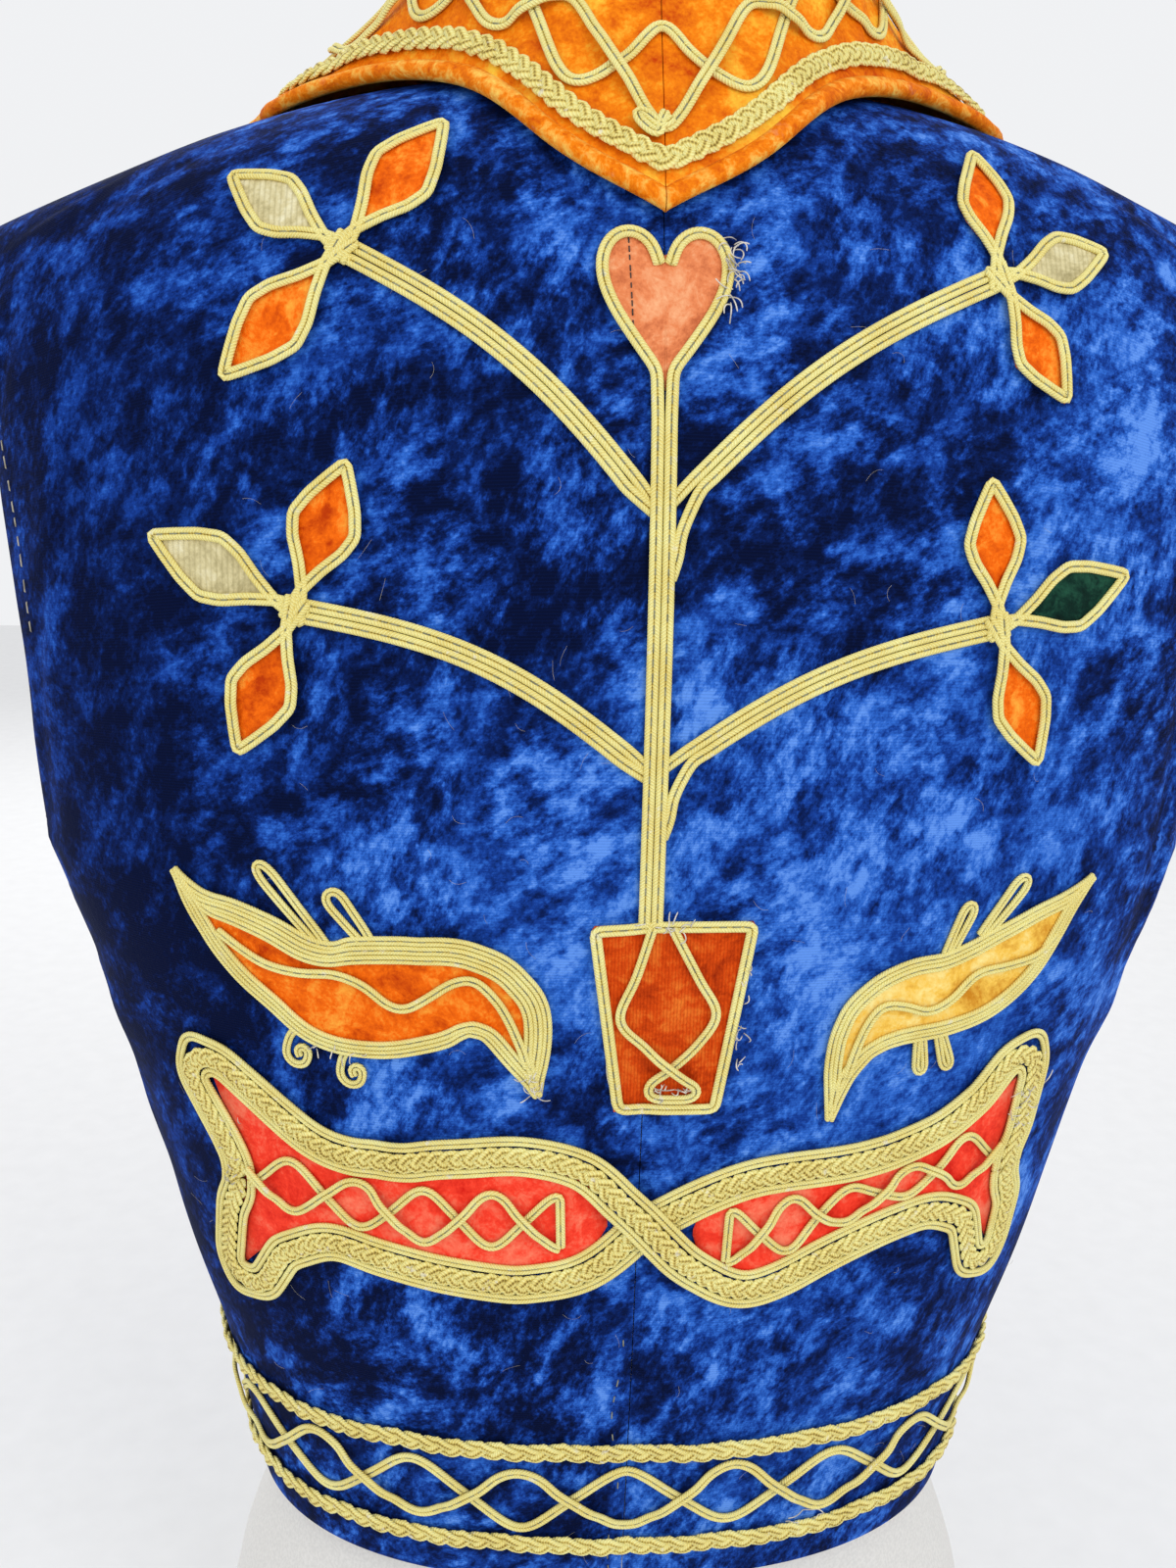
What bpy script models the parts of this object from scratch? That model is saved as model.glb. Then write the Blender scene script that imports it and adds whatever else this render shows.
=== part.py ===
"""An embroidered folk vest of crushed blue velvet on a limbless dress form.

The vest hangs open-bottomed on the form: two backs joined down the middle, two
fronts, a broad shawl collar with a bound edge, and raised gold cord work with
velvet patches.  Every piece follows one surface, cloth_point(around, rise), the
outer face of the vest, and lies on it or is moved out from it.

Axes: +X is the wearer's left, -Y the front, +Z up.  Sizes are in millimetres
and become metres as each mesh is made.
"""
import math
from collections import namedtuple

import bmesh
import bpy
import numpy as np

MM = 0.001

# ---------------------------------------------------------------- main sizes
HEM_HEIGHT = 140.0        # the hem above the floor
MIDDLE = (1.8, -5.5)      # middle of the whole thing, from the body's axis
CLOTH = 2.0               # velvet with its backing
LINING = 1.0              # thin lining
LINING_OFF = 1.0          # and its distance inside the velvet
SEAM_GAP = 0.3            # between pieces that are sewn together
ARMHOLE_RISE = 250.0      # hem to the bottom of the armhole
SHOULDER_RISE = 550.0     # hem to the shoulder line, measured up the cloth
SECTION_POWER = 2.35      # how square the body's sections are
SHOULDER_POWER = 2.9      # how square the back turns over the shoulder

CORD = 3.6                # width of the flat gold cord
FINE_CORD = 3.0           # a narrower one
CORD_HEIGHT = 1.7
PLAIT = 7.6               # width of the three-strand plait
PLAIT_HEIGHT = 2.6
BORDER = 14.0             # cord, broad plait and cord side by side
BORDER_HEIGHT = 2.4
PATCH_HEIGHT = 0.9        # applied velvet
RIM_HEIGHT = 2.1          # cord round a patch
CLEAR = 0.9               # cord work above the velvet
LIFT = 2.5                # a cord that crosses over another

# ------------------------------------------------- the body inside the cloth
Section = namedtuple("Section", "rise half_width back_depth front_depth")
TORSO = (
    Section(0.0, 135.0, 96.0, 101.0),
    Section(55.0, 145.0, 102.0, 106.0),
    Section(100.0, 158.0, 107.0, 111.0),
    Section(155.0, 171.0, 110.0, 117.0),
    Section(195.0, 181.0, 113.0, 121.0),
    Section(250.0, 199.0, 116.0, 125.0),
    Section(350.0, 211.0, 116.0, 124.0),
    Section(450.0, 217.0, 114.0, 119.0),
    Section(550.0, 220.0, 110.0, 112.0),
)

Ridge = namedtuple("Ridge", "across height set_back")
SHOULDER_LINE = (
    Ridge(0.0, 494.0, 5.0),
    Ridge(35.0, 492.0, 5.0),
    Ridge(70.0, 488.0, 3.0),
    Ridge(100.0, 482.0, 1.0),
    Ridge(130.0, 473.5, -1.0),
    Ridge(165.0, 460.5, -3.0),
    Ridge(200.0, 447.0, -5.0),
    Ridge(240.0, 431.0, -7.0),
)

# Soft folds: a ripple with its middle at (around, rise), longest along `lean`.
Fold = namedtuple("Fold", "around rise reach width lean depth")
FOLDS = (
    Fold(1.16, 222.0, 0.20, 9.0, 60.0, 5.0),
    Fold(1.12, 198.0, 0.16, 8.0, 75.0, -4.0),
    Fold(1.22, 172.0, 0.22, 11.0, 50.0, 4.0),
    Fold(1.10, 140.0, 0.18, 12.0, 40.0, -3.0),
    Fold(0.80, 190.0, 0.12, 13.0, -70.0, 2.0),
)

# Armhole edge as a share of the way from centre back (0) to side seam (1), and
# from centre front to side seam on the front.
Edge = namedtuple("Edge", "rise back_left back_right front")
ARMHOLE = (
    Edge(250.0, 1.000, 1.000, 1.000),
    Edge(251.5, 0.920, 0.880, 0.900),
    Edge(256.0, 0.850, 0.770, 0.800),
    Edge(266.0, 0.795, 0.680, 0.720),
    Edge(282.0, 0.765, 0.625, 0.670),
    Edge(305.0, 0.765, 0.620, 0.640),
    Edge(340.0, 0.780, 0.655, 0.630),
    Edge(385.0, 0.790, 0.700, 0.640),
    Edge(430.0, 0.785, 0.725, 0.665),
    Edge(475.0, 0.765, 0.730, 0.690),
    Edge(515.0, 0.745, 0.725, 0.705),
    Edge(550.0, 0.725, 0.720, 0.715),
)

NECK_HALF_WIDTH = 66.0    # of the neckline at the shoulder line
NAPE_RISE = 492.0         # back of the neckline
FRONT_BREAK = 232.0       # where the front edges part into the collar
FRONT_GAP = 3.0           # between the two fronts


# ------------------------------------------------------------- curve reading
def read(table, name, at):
    """A smooth curve through one column of a table, read at one or more places."""
    places = np.array([row[0] for row in table])
    values = np.array([getattr(row, name) for row in table])
    slopes = np.gradient(values, places)
    at = np.clip(np.asarray(at, float), places[0], places[-1])
    low = np.clip(np.searchsorted(places, at, side="right") - 1, 0, len(places) - 2)
    span = places[low + 1] - places[low]
    t = (at - places[low]) / span
    return (
        (2 * t**3 - 3 * t**2 + 1) * values[low]
        + (t**3 - 2 * t**2 + t) * span * slopes[low]
        + (3 * t**2 - 2 * t**3) * values[low + 1]
        + (t**3 - t**2) * span * slopes[low + 1]
    )


def smooth_path(points, steps):
    """A smooth curve through points, with `steps` pieces between each two."""
    points = np.asarray(points, float)
    ends = np.vstack([2 * points[0] - points[1], points, 2 * points[-1] - points[-2]])
    found = []
    for before, start, stop, after in zip(ends, ends[1:], ends[2:], ends[3:]):
        for t in np.arange(steps) / steps:
            found.append(
                0.5
                * (
                    2 * start
                    + (stop - before) * t
                    + (2 * before - 5 * start + 4 * stop - after) * t**2
                    + (3 * start - before - 3 * stop + after) * t**3
                )
            )
    found.append(points[-1])
    return np.array(found)


# --------------------------------------------------------- the cloth surface
def fold_depth(around, rise):
    """How far the folds push the cloth out."""
    depth = np.zeros(np.broadcast(around, rise).shape)
    for fold in FOLDS:
        along = (np.abs(around) - fold.around) / fold.reach
        off = (rise - fold.rise - fold.lean * (np.abs(around) - fold.around)) / fold.width
        depth = depth + fold.depth * np.exp(-(along**2) - off**2)
    return depth


def cloth_point(around, rise):
    """The vest's outer face.  around: 0 centre back, 1 side seam, 2 centre front,
    negative on the wearer's right.  rise: 0 at the hem, SHOULDER_RISE on the
    shoulder line, and beyond it down the front again."""
    around, rise = np.broadcast_arrays(np.asarray(around, float), np.asarray(rise, float))
    side = np.where(around < 0, -1.0, 1.0)
    share = np.abs(around)
    past = rise > SHOULDER_RISE
    share = np.where(past, 2 - share, share)
    rise = np.where(past, 2 * SHOULDER_RISE - rise, rise)
    angle = share * math.pi / 2
    back = share <= 1
    depth = np.where(back, read(TORSO, "back_depth", rise), -read(TORSO, "front_depth", rise))
    bulge = fold_depth(share, rise)
    across = (read(TORSO, "half_width", rise) + bulge) * np.abs(np.sin(angle)) ** (2 / SECTION_POWER)
    middle = (depth + np.sign(depth) * bulge) * np.abs(np.cos(angle)) ** (2 / SECTION_POWER)
    turn = np.clip((rise - ARMHOLE_RISE) / (SHOULDER_RISE - ARMHOLE_RISE), 0, 1) * math.pi / 2
    top = read(SHOULDER_LINE, "height", across)
    top_depth = read(SHOULDER_LINE, "set_back", across)
    upper = rise > ARMHOLE_RISE
    deep = top_depth + (middle - top_depth) * np.abs(np.cos(turn)) ** (2 / SHOULDER_POWER)
    high = ARMHOLE_RISE + (top - ARMHOLE_RISE) * np.sin(turn) ** (2 / SHOULDER_POWER)
    return np.stack(
        [side * across, np.where(upper, deep, middle), np.where(upper, high, rise)], axis=-1
    )


def cloth_normal(around, rise):
    """Unit vectors out of the cloth."""
    around, rise = np.broadcast_arrays(np.asarray(around, float), np.asarray(rise, float))
    step_around, step_rise = 0.004, 1.0
    low = np.maximum(rise - step_rise, 0.0)
    sideways = cloth_point(around + step_around, rise) - cloth_point(around - step_around, rise)
    # The sign of `around` says which side a point is on, so nothing steps over zero.
    near_middle = np.abs(around) < step_around
    sideways = np.where(near_middle[..., None], np.array([1.0, 0.0, 0.0]), sideways)
    upward = cloth_point(around, rise + step_rise) - cloth_point(around, low)
    out = np.cross(sideways, upward)
    flip = np.where((around < 0) & ~near_middle, -1.0, 1.0)[..., None]
    # Over the shoulder line and round the side both directions keep turning with the cloth.
    out = out * flip
    centre = np.stack([0 * rise, 0 * rise, np.minimum(cloth_point(around, rise)[..., 2], 380.0)], -1)
    outward = np.sum(out * (cloth_point(around, rise) - centre), axis=-1, keepdims=True)
    out = np.where(outward < 0, -out, out)
    return out / np.linalg.norm(out, axis=-1, keepdims=True)


def off_cloth(around, rise, out):
    """Points at a distance outside the cloth's face."""
    return cloth_point(around, rise) + cloth_normal(around, rise) * np.asarray(out, float)[..., None]


def spot(across, height, front=False):
    """(around, rise) of a place on the back or front, given across and height."""
    across, height = np.broadcast_arrays(np.asarray(across, float), np.asarray(height, float))
    top = read(SHOULDER_LINE, "height", np.abs(across))
    share = np.clip((height - ARMHOLE_RISE) / (top - ARMHOLE_RISE), 0, 1)
    turn = np.arcsin(share ** (SHOULDER_POWER / 2)) / (math.pi / 2)
    rise = np.where(
        height > ARMHOLE_RISE, ARMHOLE_RISE + (SHOULDER_RISE - ARMHOLE_RISE) * turn, height
    )
    width = read(TORSO, "half_width", rise)
    angle = np.arcsin(np.clip(np.abs(across) / width, 0, 1) ** (SECTION_POWER / 2))
    around = angle / (math.pi / 2)
    around = np.where(front, 2 - around, around)
    return np.where(across < 0, -around, around), rise


# ------------------------------------------------------------ making objects
def material(name, colour, roughness, metallic=0.0):
    found = bpy.data.materials.get(name)
    if found:
        return found
    found = bpy.data.materials.new(name)
    found.use_nodes = True
    shader = found.node_tree.nodes["Principled BSDF"]
    shader.inputs["Base Color"].default_value = (*colour, 1.0)
    shader.inputs["Roughness"].default_value = roughness
    shader.inputs["Metallic"].default_value = metallic
    found.diffuse_color = (*colour, 1.0)
    return found


FINISHES = {
    "blue_velvet": ((0.012, 0.035, 0.22), 0.75),
    "orange_velvet": ((0.80, 0.20, 0.02), 0.75),
    "gold_cord": ((0.62, 0.42, 0.13), 0.70),
    "ivory_velvet": ((0.52, 0.47, 0.26), 0.75),
    "green_velvet": ((0.01, 0.05, 0.03), 0.75),
    "salmon_velvet": ((0.55, 0.16, 0.09), 0.80),
    "pot_velvet": ((0.62, 0.08, 0.01), 0.80),
    "yellow_velvet": ((0.80, 0.42, 0.06), 0.75),
    "red_velvet": ((0.80, 0.05, 0.03), 0.75),
    "peach_lining": ((0.78, 0.40, 0.17), 0.80),
    "form_cover": ((0.86, 0.82, 0.70), 0.85),
}


def add_object(name, points, faces, finish):
    """One named solid from points in millimetres above the hem."""
    mesh = bpy.data.meshes.new(name)
    moved = (np.asarray(points, float) + (-MIDDLE[0], -MIDDLE[1], HEM_HEIGHT)) * MM
    mesh.from_pydata([tuple(point) for point in moved], [], [tuple(face) for face in faces])
    form = bmesh.new()
    form.from_mesh(mesh)
    bmesh.ops.remove_doubles(form, verts=form.verts, dist=0.00001)
    bmesh.ops.dissolve_degenerate(form, edges=form.edges, dist=0.00002)
    bmesh.ops.recalc_face_normals(form, faces=form.faces)
    form.to_mesh(mesh)
    form.free()
    mesh.materials.append(material(finish, *FINISHES[finish]))
    mesh.shade_smooth()
    mesh.set_sharp_from_angle(angle=math.radians(50))
    made = bpy.data.objects.new(name, mesh)
    bpy.context.scene.collection.objects.link(made)
    return made


def grid_faces(rows, columns, start=0, flip=False):
    faces = []
    for row in range(rows - 1):
        for column in range(columns - 1):
            corner = start + row * columns + column
            # Both sides of a wall are split along the same diagonal, so layers stay apart.
            for face in ((corner, corner + 1, corner + columns + 1),
                         (corner, corner + columns + 1, corner + columns)):
                faces.append(face[::-1] if flip else face)
    return faces


def border_of(rows, columns):
    """Indices round the edge of a grid, in order."""
    first = list(range(columns))
    right = [row * columns + columns - 1 for row in range(1, rows)]
    last = [(rows - 1) * columns + column for column in range(columns - 2, -1, -1)]
    left = [row * columns for row in range(rows - 2, 0, -1)]
    return first + right + last + left


def add_wall(name, outer, inner, finish):
    """A closed wall between two grids of points."""
    rows, columns = outer.shape[:2]
    count = rows * columns
    faces = grid_faces(rows, columns) + grid_faces(rows, columns, count, flip=True)
    edge = border_of(rows, columns)
    for here, following in zip(edge, edge[1:] + edge[:1]):
        faces.append((following, here, here + count, following + count))
    points = np.vstack([outer.reshape(-1, 3), inner.reshape(-1, 3)])
    return add_object(name, points, faces, finish)


def pull_in(grid, *sides):
    """Moves the named edges of a grid half a seam gap towards its middle."""
    near = {"first": (0, 1), "last": (-1, -2)}
    for side in sides:
        edge, which = side.split()
        here, inside = near[which]
        if edge == "row":
            step = grid[inside] - grid[here]
            grid[here] += step / np.linalg.norm(step, axis=-1, keepdims=True) * SEAM_GAP / 2
        else:
            step = grid[:, inside] - grid[:, here]
            grid[:, here] += step / np.linalg.norm(step, axis=-1, keepdims=True) * SEAM_GAP / 2
    return grid


def add_ring_patch(name, rings, heights, finish, base=CLEAR):
    """A raised patch of nested outlines on the back.  rings: outlines as (across,
    height) rows from the outside in, ending in one centre point."""
    count = len(rings[0])
    outer = np.asarray(rings[0])
    points = [off_cloth(*spot(outer[:, 0], outer[:, 1]), np.full(count, base))]
    for ring, height in zip(rings[:-1], heights):
        ring = np.asarray(ring)
        points.append(off_cloth(*spot(ring[:, 0], ring[:, 1]), np.full(count, base + height)))
    across, height = rings[-1]
    middle = spot(np.array([across]), np.array([height]))
    points.append(off_cloth(*middle, np.array([base + heights[-1]])))
    points.append(off_cloth(*middle, np.array([base])))
    faces = []
    layers = len(points) - 2
    top, bottom = layers * count, layers * count + 1
    for here in range(count):
        following = (here + 1) % count
        for layer in range(layers - 1):
            low, high = layer * count, (layer + 1) * count
            faces.append((low + here, low + following, high + following, high + here))
        last = (layers - 1) * count
        faces.append((last + here, last + following, top))
        faces.append((following, here, bottom))
    return add_object(name, np.vstack(points), faces, finish)


def add_sweep(name, sections, finish):
    """A closed bar through equal sections, each a loop of points."""
    rows, corners = sections.shape[:2]
    faces = []
    for row in range(rows - 1):
        for corner in range(corners):
            here, beside = row * corners + corner, row * corners + (corner + 1) % corners
            faces.append((here, beside, beside + corners, here + corners))
    faces.append(tuple(range(corners))[::-1])
    faces.append(tuple(range((rows - 1) * corners, rows * corners)))
    return add_object(name, sections.reshape(-1, 3), faces, finish)


def add_strip(name, feet, outs, width, height, lift=0.0, crown=0.55):
    """A gold cord along a path of foot points: a wide foot and a narrower top."""
    feet = feet + outs * (np.zeros(len(feet)) + lift)[:, None]
    sideways = np.cross(np.gradient(feet, axis=0), outs)
    sideways *= width / 2 / np.linalg.norm(sideways, axis=-1, keepdims=True)
    top = feet + outs * height
    sections = [feet - sideways, feet + sideways, top + sideways * crown, top - sideways * crown]
    return add_sweep(name, np.stack(sections, axis=1), "gold_cord")


def add_cloth_strip(name, around, rise, width, height, base=CLEAR, **more):
    """A flat cord along a path given on the cloth."""
    feet = off_cloth(around, rise, np.full(len(around), base))
    return add_strip(name, feet, cloth_normal(around, rise), width, height, **more)


def add_back_strip(name, path, width, height, **more):
    """A flat cord along (across, height) places on the back."""
    path = np.asarray(path, float)
    around, rise = spot(path[:, 0], path[:, 1])
    return add_cloth_strip(name, around, rise, width, height, **more)


def add_back_slab(name, places, heights, finish, base=CLEAR):
    """A raised patch from a grid of (across, height) places and its top heights."""
    around, rise = spot(places[..., 0], places[..., 1])
    top = off_cloth(around, rise, base + heights)
    bottom = off_cloth(around, rise, np.full(rise.shape, base))
    return add_wall(name, top, bottom, finish)


# ------------------------------------------------------------------- panels
def make_back(side, name, column):
    """One back, from the centre-back seam to the side seam and armhole."""
    below = np.linspace(0, ARMHOLE_RISE, 9)[:-1]
    beside = np.array([250.0, 252.0, 257.0, 267.0, 284.0, 310.0, 345.0, 385.0, 425.0, 462.0])
    turn = np.radians(np.linspace(0, 90, 6))
    above = SHOULDER_RISE - (SHOULDER_RISE - NAPE_RISE) * np.cos(turn)
    rises = np.concatenate([below, beside, above])
    starts = np.zeros(len(rises))
    neck_share = spot(NECK_HALF_WIDTH, read(SHOULDER_LINE, "height", NECK_HALF_WIDTH))[0]
    starts[-len(above):] = neck_share * np.sin(turn)
    ends = np.where(rises < ARMHOLE_RISE, 1.0, read(ARMHOLE, column, rises))
    share = np.linspace(0, 1, 11)
    around = starts[:, None] + (ends - starts)[:, None] * share
    around = np.maximum(around, 1e-6) * side
    rise = np.repeat(rises[:, None], len(share), axis=1)
    outer = off_cloth(around, rise, np.zeros(rise.shape))
    inner = off_cloth(around, rise, np.full(rise.shape, -CLOTH))
    centre = len(below) + len(beside)
    for grid in (outer, inner):
        pull_in(grid, "row last")
        grid[: centre + 1, 0, 0] = side * SEAM_GAP / 2
        grid[: len(below) + 1, -1, 1] = SEAM_GAP / 2
    add_wall(name, outer, inner, "blue_velvet")


def front_edge(rises):
    """Across of the front edge: straight down the middle, then out to the neck."""
    path = np.clip((rises - FRONT_BREAK) / (SHOULDER_RISE - FRONT_BREAK), 0, 1)
    return FRONT_GAP / 2 + (NECK_HALF_WIDTH - FRONT_GAP / 2) * path**1.15


def front_share(rises):
    """The front edge as a share of the way from centre front to side seam."""
    width = read(TORSO, "half_width", rises)
    angle = np.arcsin((front_edge(rises) / width) ** (SECTION_POWER / 2))
    return angle / (math.pi / 2)


LINING_FROM = 5           # first row of the front that the lining backs
LINING_BESIDE = 6         # first column
FRONT_RISES = np.concatenate(
    [
        np.linspace(0, ARMHOLE_RISE, 10)[:-1],
        [250.0, 252.0, 257.0, 267.0, 284.0, 310.0, 345.0, 385.0, 425.0, 465.0, 500.0, 528.0, 550.0],
    ]
)


def front_grid(side):
    """(around, rise) over one front, from its front edge to the side seam."""
    ends = np.where(FRONT_RISES < ARMHOLE_RISE, 1.0, read(ARMHOLE, "front", FRONT_RISES))
    starts = front_share(FRONT_RISES)
    share = np.linspace(0, 1, 11)
    around = (2 - (starts[:, None] + (ends - starts)[:, None] * share)) * side
    return around, np.repeat(FRONT_RISES[:, None], len(share), axis=1)


def front_wall(name, side, face, thickness, finish, rows=slice(None), columns=slice(None)):
    """A wall that follows one front, `face` outside the cloth's face."""
    around, rise = (grid[rows, columns] for grid in front_grid(side))
    outer = off_cloth(around, rise, np.full(rise.shape, face))
    inner = off_cloth(around, rise, np.full(rise.shape, face - thickness))
    beside_seam = rise[:, 0] <= ARMHOLE_RISE
    for grid in (outer, inner):
        pull_in(grid, "row last")
        grid[beside_seam, -1, 1] = -SEAM_GAP / 2
    add_wall(name, outer, inner, finish)


def make_front(side, name):
    """One front and the thin lining that shows inside its armhole."""
    front_wall("front_" + name, side, 0.0, CLOTH, "blue_velvet")
    front_wall("front_lining_" + name, side, -CLOTH - LINING_OFF, LINING, "peach_lining",
               rows=slice(LINING_FROM, None), columns=slice(LINING_BESIDE, None))


# ------------------------------------------------------------------- collar
Seam = namedtuple("Seam", "along across rise")
COLLAR_SEAM = (           # where the collar joins the neckline and front edges
    Seam(0.00, 0.0, 492.0),
    Seam(0.10, 21.0, 494.0),
    Seam(0.20, 42.0, 503.0),
    Seam(0.28, 57.0, 521.0),
    Seam(0.36, 66.0, 550.0),
    Seam(0.46, 61.0, 592.0),
    Seam(0.62, 45.0, 678.0),
    Seam(0.80, 25.0, 775.0),
    Seam(1.00, 6.0, 866.0),
)
COLLAR_EDGE = (           # the bound outer edge
    Seam(0.00, 0.0, 402.0),
    Seam(0.10, 30.0, 431.0),
    Seam(0.20, 59.0, 484.0),
    Seam(0.28, 88.0, 520.0),
    Seam(0.36, 118.0, 546.0),
    Seam(0.46, 142.0, 596.0),
    Seam(0.62, 138.0, 680.0),
    Seam(0.80, 90.0, 786.0),
    Seam(1.00, 22.0, 868.0),
)
Roll = namedtuple("Roll", "along height lift")
COLLAR_ROLL = (           # height of the roll over the seam, and the fall's lift
    Roll(0.00, 36.0, 3.0),
    Roll(0.20, 38.0, 4.0),
    Roll(0.36, 33.0, 6.0),
    Roll(0.46, 22.0, 7.0),
    Roll(0.62, 10.0, 5.0),
    Roll(0.80, 6.0, 3.0),
    Roll(1.00, 4.0, 1.0),
)
SETTLE = (0.36, 0.62)     # where the collar turns from standing up to lying flat
ROLL_OUT = (1.5, 0.12)    # the roll leans out by this much, and this share of its height
COLLAR_CLOTH = 2.4
COLLAR_FACE = 3.8         # the collar's face above the vest
COLLAR_CLEAR = 1.7        # its cord work above its face
BINDING = 5.8             # width of the bound edge
BINDING_GAP = 1.15
BINDING_SHAPE = ((0.0, -COLLAR_CLOTH), (0.05, 0.4), (0.45, 1.8), (1.0, 0.2), (1.0, -COLLAR_CLOTH))
COLLAR_ROWS = np.concatenate([np.linspace(0, 0.46, 15), np.linspace(0.46, 1, 12)[1:]])


FALL_STEPS = np.linspace(0, 1, 17)
MOST_LEAN = 1.6


def collar_across(along, inward):
    """(around, rise) under half the collar: inward 0 at its edge, 1 at its seam."""
    along, inward = np.broadcast_arrays(np.asarray(along, float), np.asarray(inward, float))
    across = read(COLLAR_EDGE, "across", along) * (1 - inward)
    across = across + read(COLLAR_SEAM, "across", along) * inward
    rise = read(COLLAR_EDGE, "rise", along) * (1 - inward)
    rise = rise + read(COLLAR_SEAM, "rise", along) * inward
    folded = np.where(rise > SHOULDER_RISE, 2 * SHOULDER_RISE - rise, rise)
    width = read(TORSO, "half_width", folded)
    angle = np.arcsin(np.clip(across / width, 0, 1) ** (SECTION_POWER / 2))
    return np.maximum(angle / (math.pi / 2), 1e-6), rise


def collar_frame(along):
    """The seam, and the ways up and out of it, along half the collar."""
    seam = off_cloth(*collar_across(along, 1.0), 1.4 + 0 * along)
    edge = off_cloth(*collar_across(along, 0.0), 1.4 + 0 * along)
    out = edge - seam
    out[..., 2] *= 0.25
    out /= np.linalg.norm(out, axis=-1, keepdims=True)
    settle = np.clip((along - SETTLE[0]) / (SETTLE[1] - SETTLE[0]), 0, 1)[..., None]
    up = (1 - settle) * np.array([0.0, 0.0, 1.0])
    up = up + settle * cloth_normal(*collar_across(along, 1.0))
    return seam, up, out


def collar_face(along, inward):
    """The face of half the collar: inward 0 at the edge, 1 on top of the roll."""
    along, inward = np.broadcast_arrays(np.asarray(along, float), np.asarray(inward, float))
    seam, up, out = collar_frame(along)
    under = off_cloth(*collar_across(along, inward * 0.92), COLLAR_FACE + 0 * along)
    edge = off_cloth(*collar_across(along, 0.0), COLLAR_FACE + 0 * along)
    roll = read(COLLAR_ROLL, "height", along)[..., None]
    top = seam + up * roll + out * (ROLL_OUT[0] + ROLL_OUT[1] * roll)
    straight = edge + (top - edge) * inward[..., None]
    blend = (inward**1.6)[..., None]
    bulge = read(COLLAR_ROLL, "lift", along) * np.sin(inward * math.pi)
    normal = cloth_normal(*collar_across(along, inward * 0.6))
    return under * (1 - blend) + straight * blend + normal * bulge[..., None]


def collar_normal(along, inward):
    """Unit vectors out of the collar's face."""
    along, inward = np.broadcast_arrays(np.asarray(along, float), np.asarray(inward, float))
    step = 0.01
    ahead = collar_face(along + step, inward) - collar_face(np.maximum(along - step, 0), inward)
    upward = collar_face(along, np.minimum(inward + step, 1)) - collar_face(
        along, np.maximum(inward - step, 0)
    )
    out = np.cross(upward, ahead)
    out[..., 0] = np.where(along < 1e-3, 0.0, out[..., 0])
    return out / np.linalg.norm(out, axis=-1, keepdims=True)


def fall_lengths(along):
    """Lengths up half the collar, from its edge, at FALL_STEPS."""
    points = collar_face(np.asarray(along, float)[..., None] + 0 * FALL_STEPS, FALL_STEPS)
    steps = np.linalg.norm(np.diff(points, axis=-2), axis=-1)
    return np.concatenate([0 * steps[..., :1], np.cumsum(steps, axis=-1)], axis=-1)


def inward_at(along, distance):
    """How far inward a place is that lies `distance` from the collar's edge."""
    along, distance = np.broadcast_arrays(np.asarray(along, float), np.asarray(distance, float))
    ahead = collar_face(along + 0.01, 0.3) - collar_face(np.maximum(along - 0.01, 0), 0.3)
    upward = collar_face(along, 0.35) - collar_face(along, 0.25)
    square = np.linalg.norm(np.cross(ahead, upward), axis=-1)
    square = square / np.linalg.norm(ahead, axis=-1) / np.linalg.norm(upward, axis=-1)
    # The rows lean, so a distance square to the edge is longer when measured along a row.
    distance = distance * np.minimum(1 / square, MOST_LEAN)
    lengths = fall_lengths(along).reshape(-1, len(FALL_STEPS))
    found = [np.interp(d, row, FALL_STEPS) for d, row in zip(distance.reshape(-1), lengths)]
    return np.array(found).reshape(along.shape)


def on_side(grid, side):
    """Turns half a collar to its own side and leaves the centre seam's gap."""
    grid[..., 0] *= side
    grid[0, :, 0] = side * SEAM_GAP / 2
    return grid


def make_collar(side, name):
    """Half the collar: its fall, its roll and its stand down to the neckline."""
    start = BINDING + BINDING_GAP
    rows = COLLAR_ROWS[:, None]
    first = inward_at(rows, start)
    inward = first + (1 - first) * np.array([0.0, 0.3, 0.55, 0.8, 1.0])
    face = collar_face(rows, inward)
    back = face - collar_normal(rows, inward) * COLLAR_CLOTH
    seam, up, out = collar_frame(COLLAR_ROWS)
    top = face[:, -1]
    half = seam + (top - seam) * 0.5
    stand = np.stack([top - out * 3.4 - up * 1.5, half - out * 3.0, seam - out * 2.4], axis=1)
    stand_back = stand + out[:, None] * COLLAR_CLOTH
    stand_back[:, 0] = top - out * 1.6 - up * 3.2
    face = np.concatenate([face, stand], axis=1)
    back = np.concatenate([back, stand_back], axis=1)
    add_wall(name, on_side(face, side), on_side(back, side), "orange_velvet")


def make_binding(side, name):
    """The rolled strip that binds half the collar's edge."""
    sections = []
    for share, height in BINDING_SHAPE:
        inward = inward_at(COLLAR_ROWS, BINDING * share)
        sections.append(
            collar_face(COLLAR_ROWS, inward) + collar_normal(COLLAR_ROWS, inward) * height
        )
    add_sweep(name, on_side(np.stack(sections, axis=1), side), "orange_velvet")


def add_collar_strip(name, along, distance, width, height, lift=0.0):
    """A cord on the collar's face, `distance` from its edge; along is negative on
    the wearer's right."""
    size = np.abs(along)
    inward = inward_at(size, distance)
    outs, feet = collar_normal(size, inward), collar_face(size, inward)
    for vectors in (outs, feet):
        vectors[:, 0] *= np.sign(along)
    return add_strip(name, feet + outs * COLLAR_CLEAR, outs, width, height, lift=lift)


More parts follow.
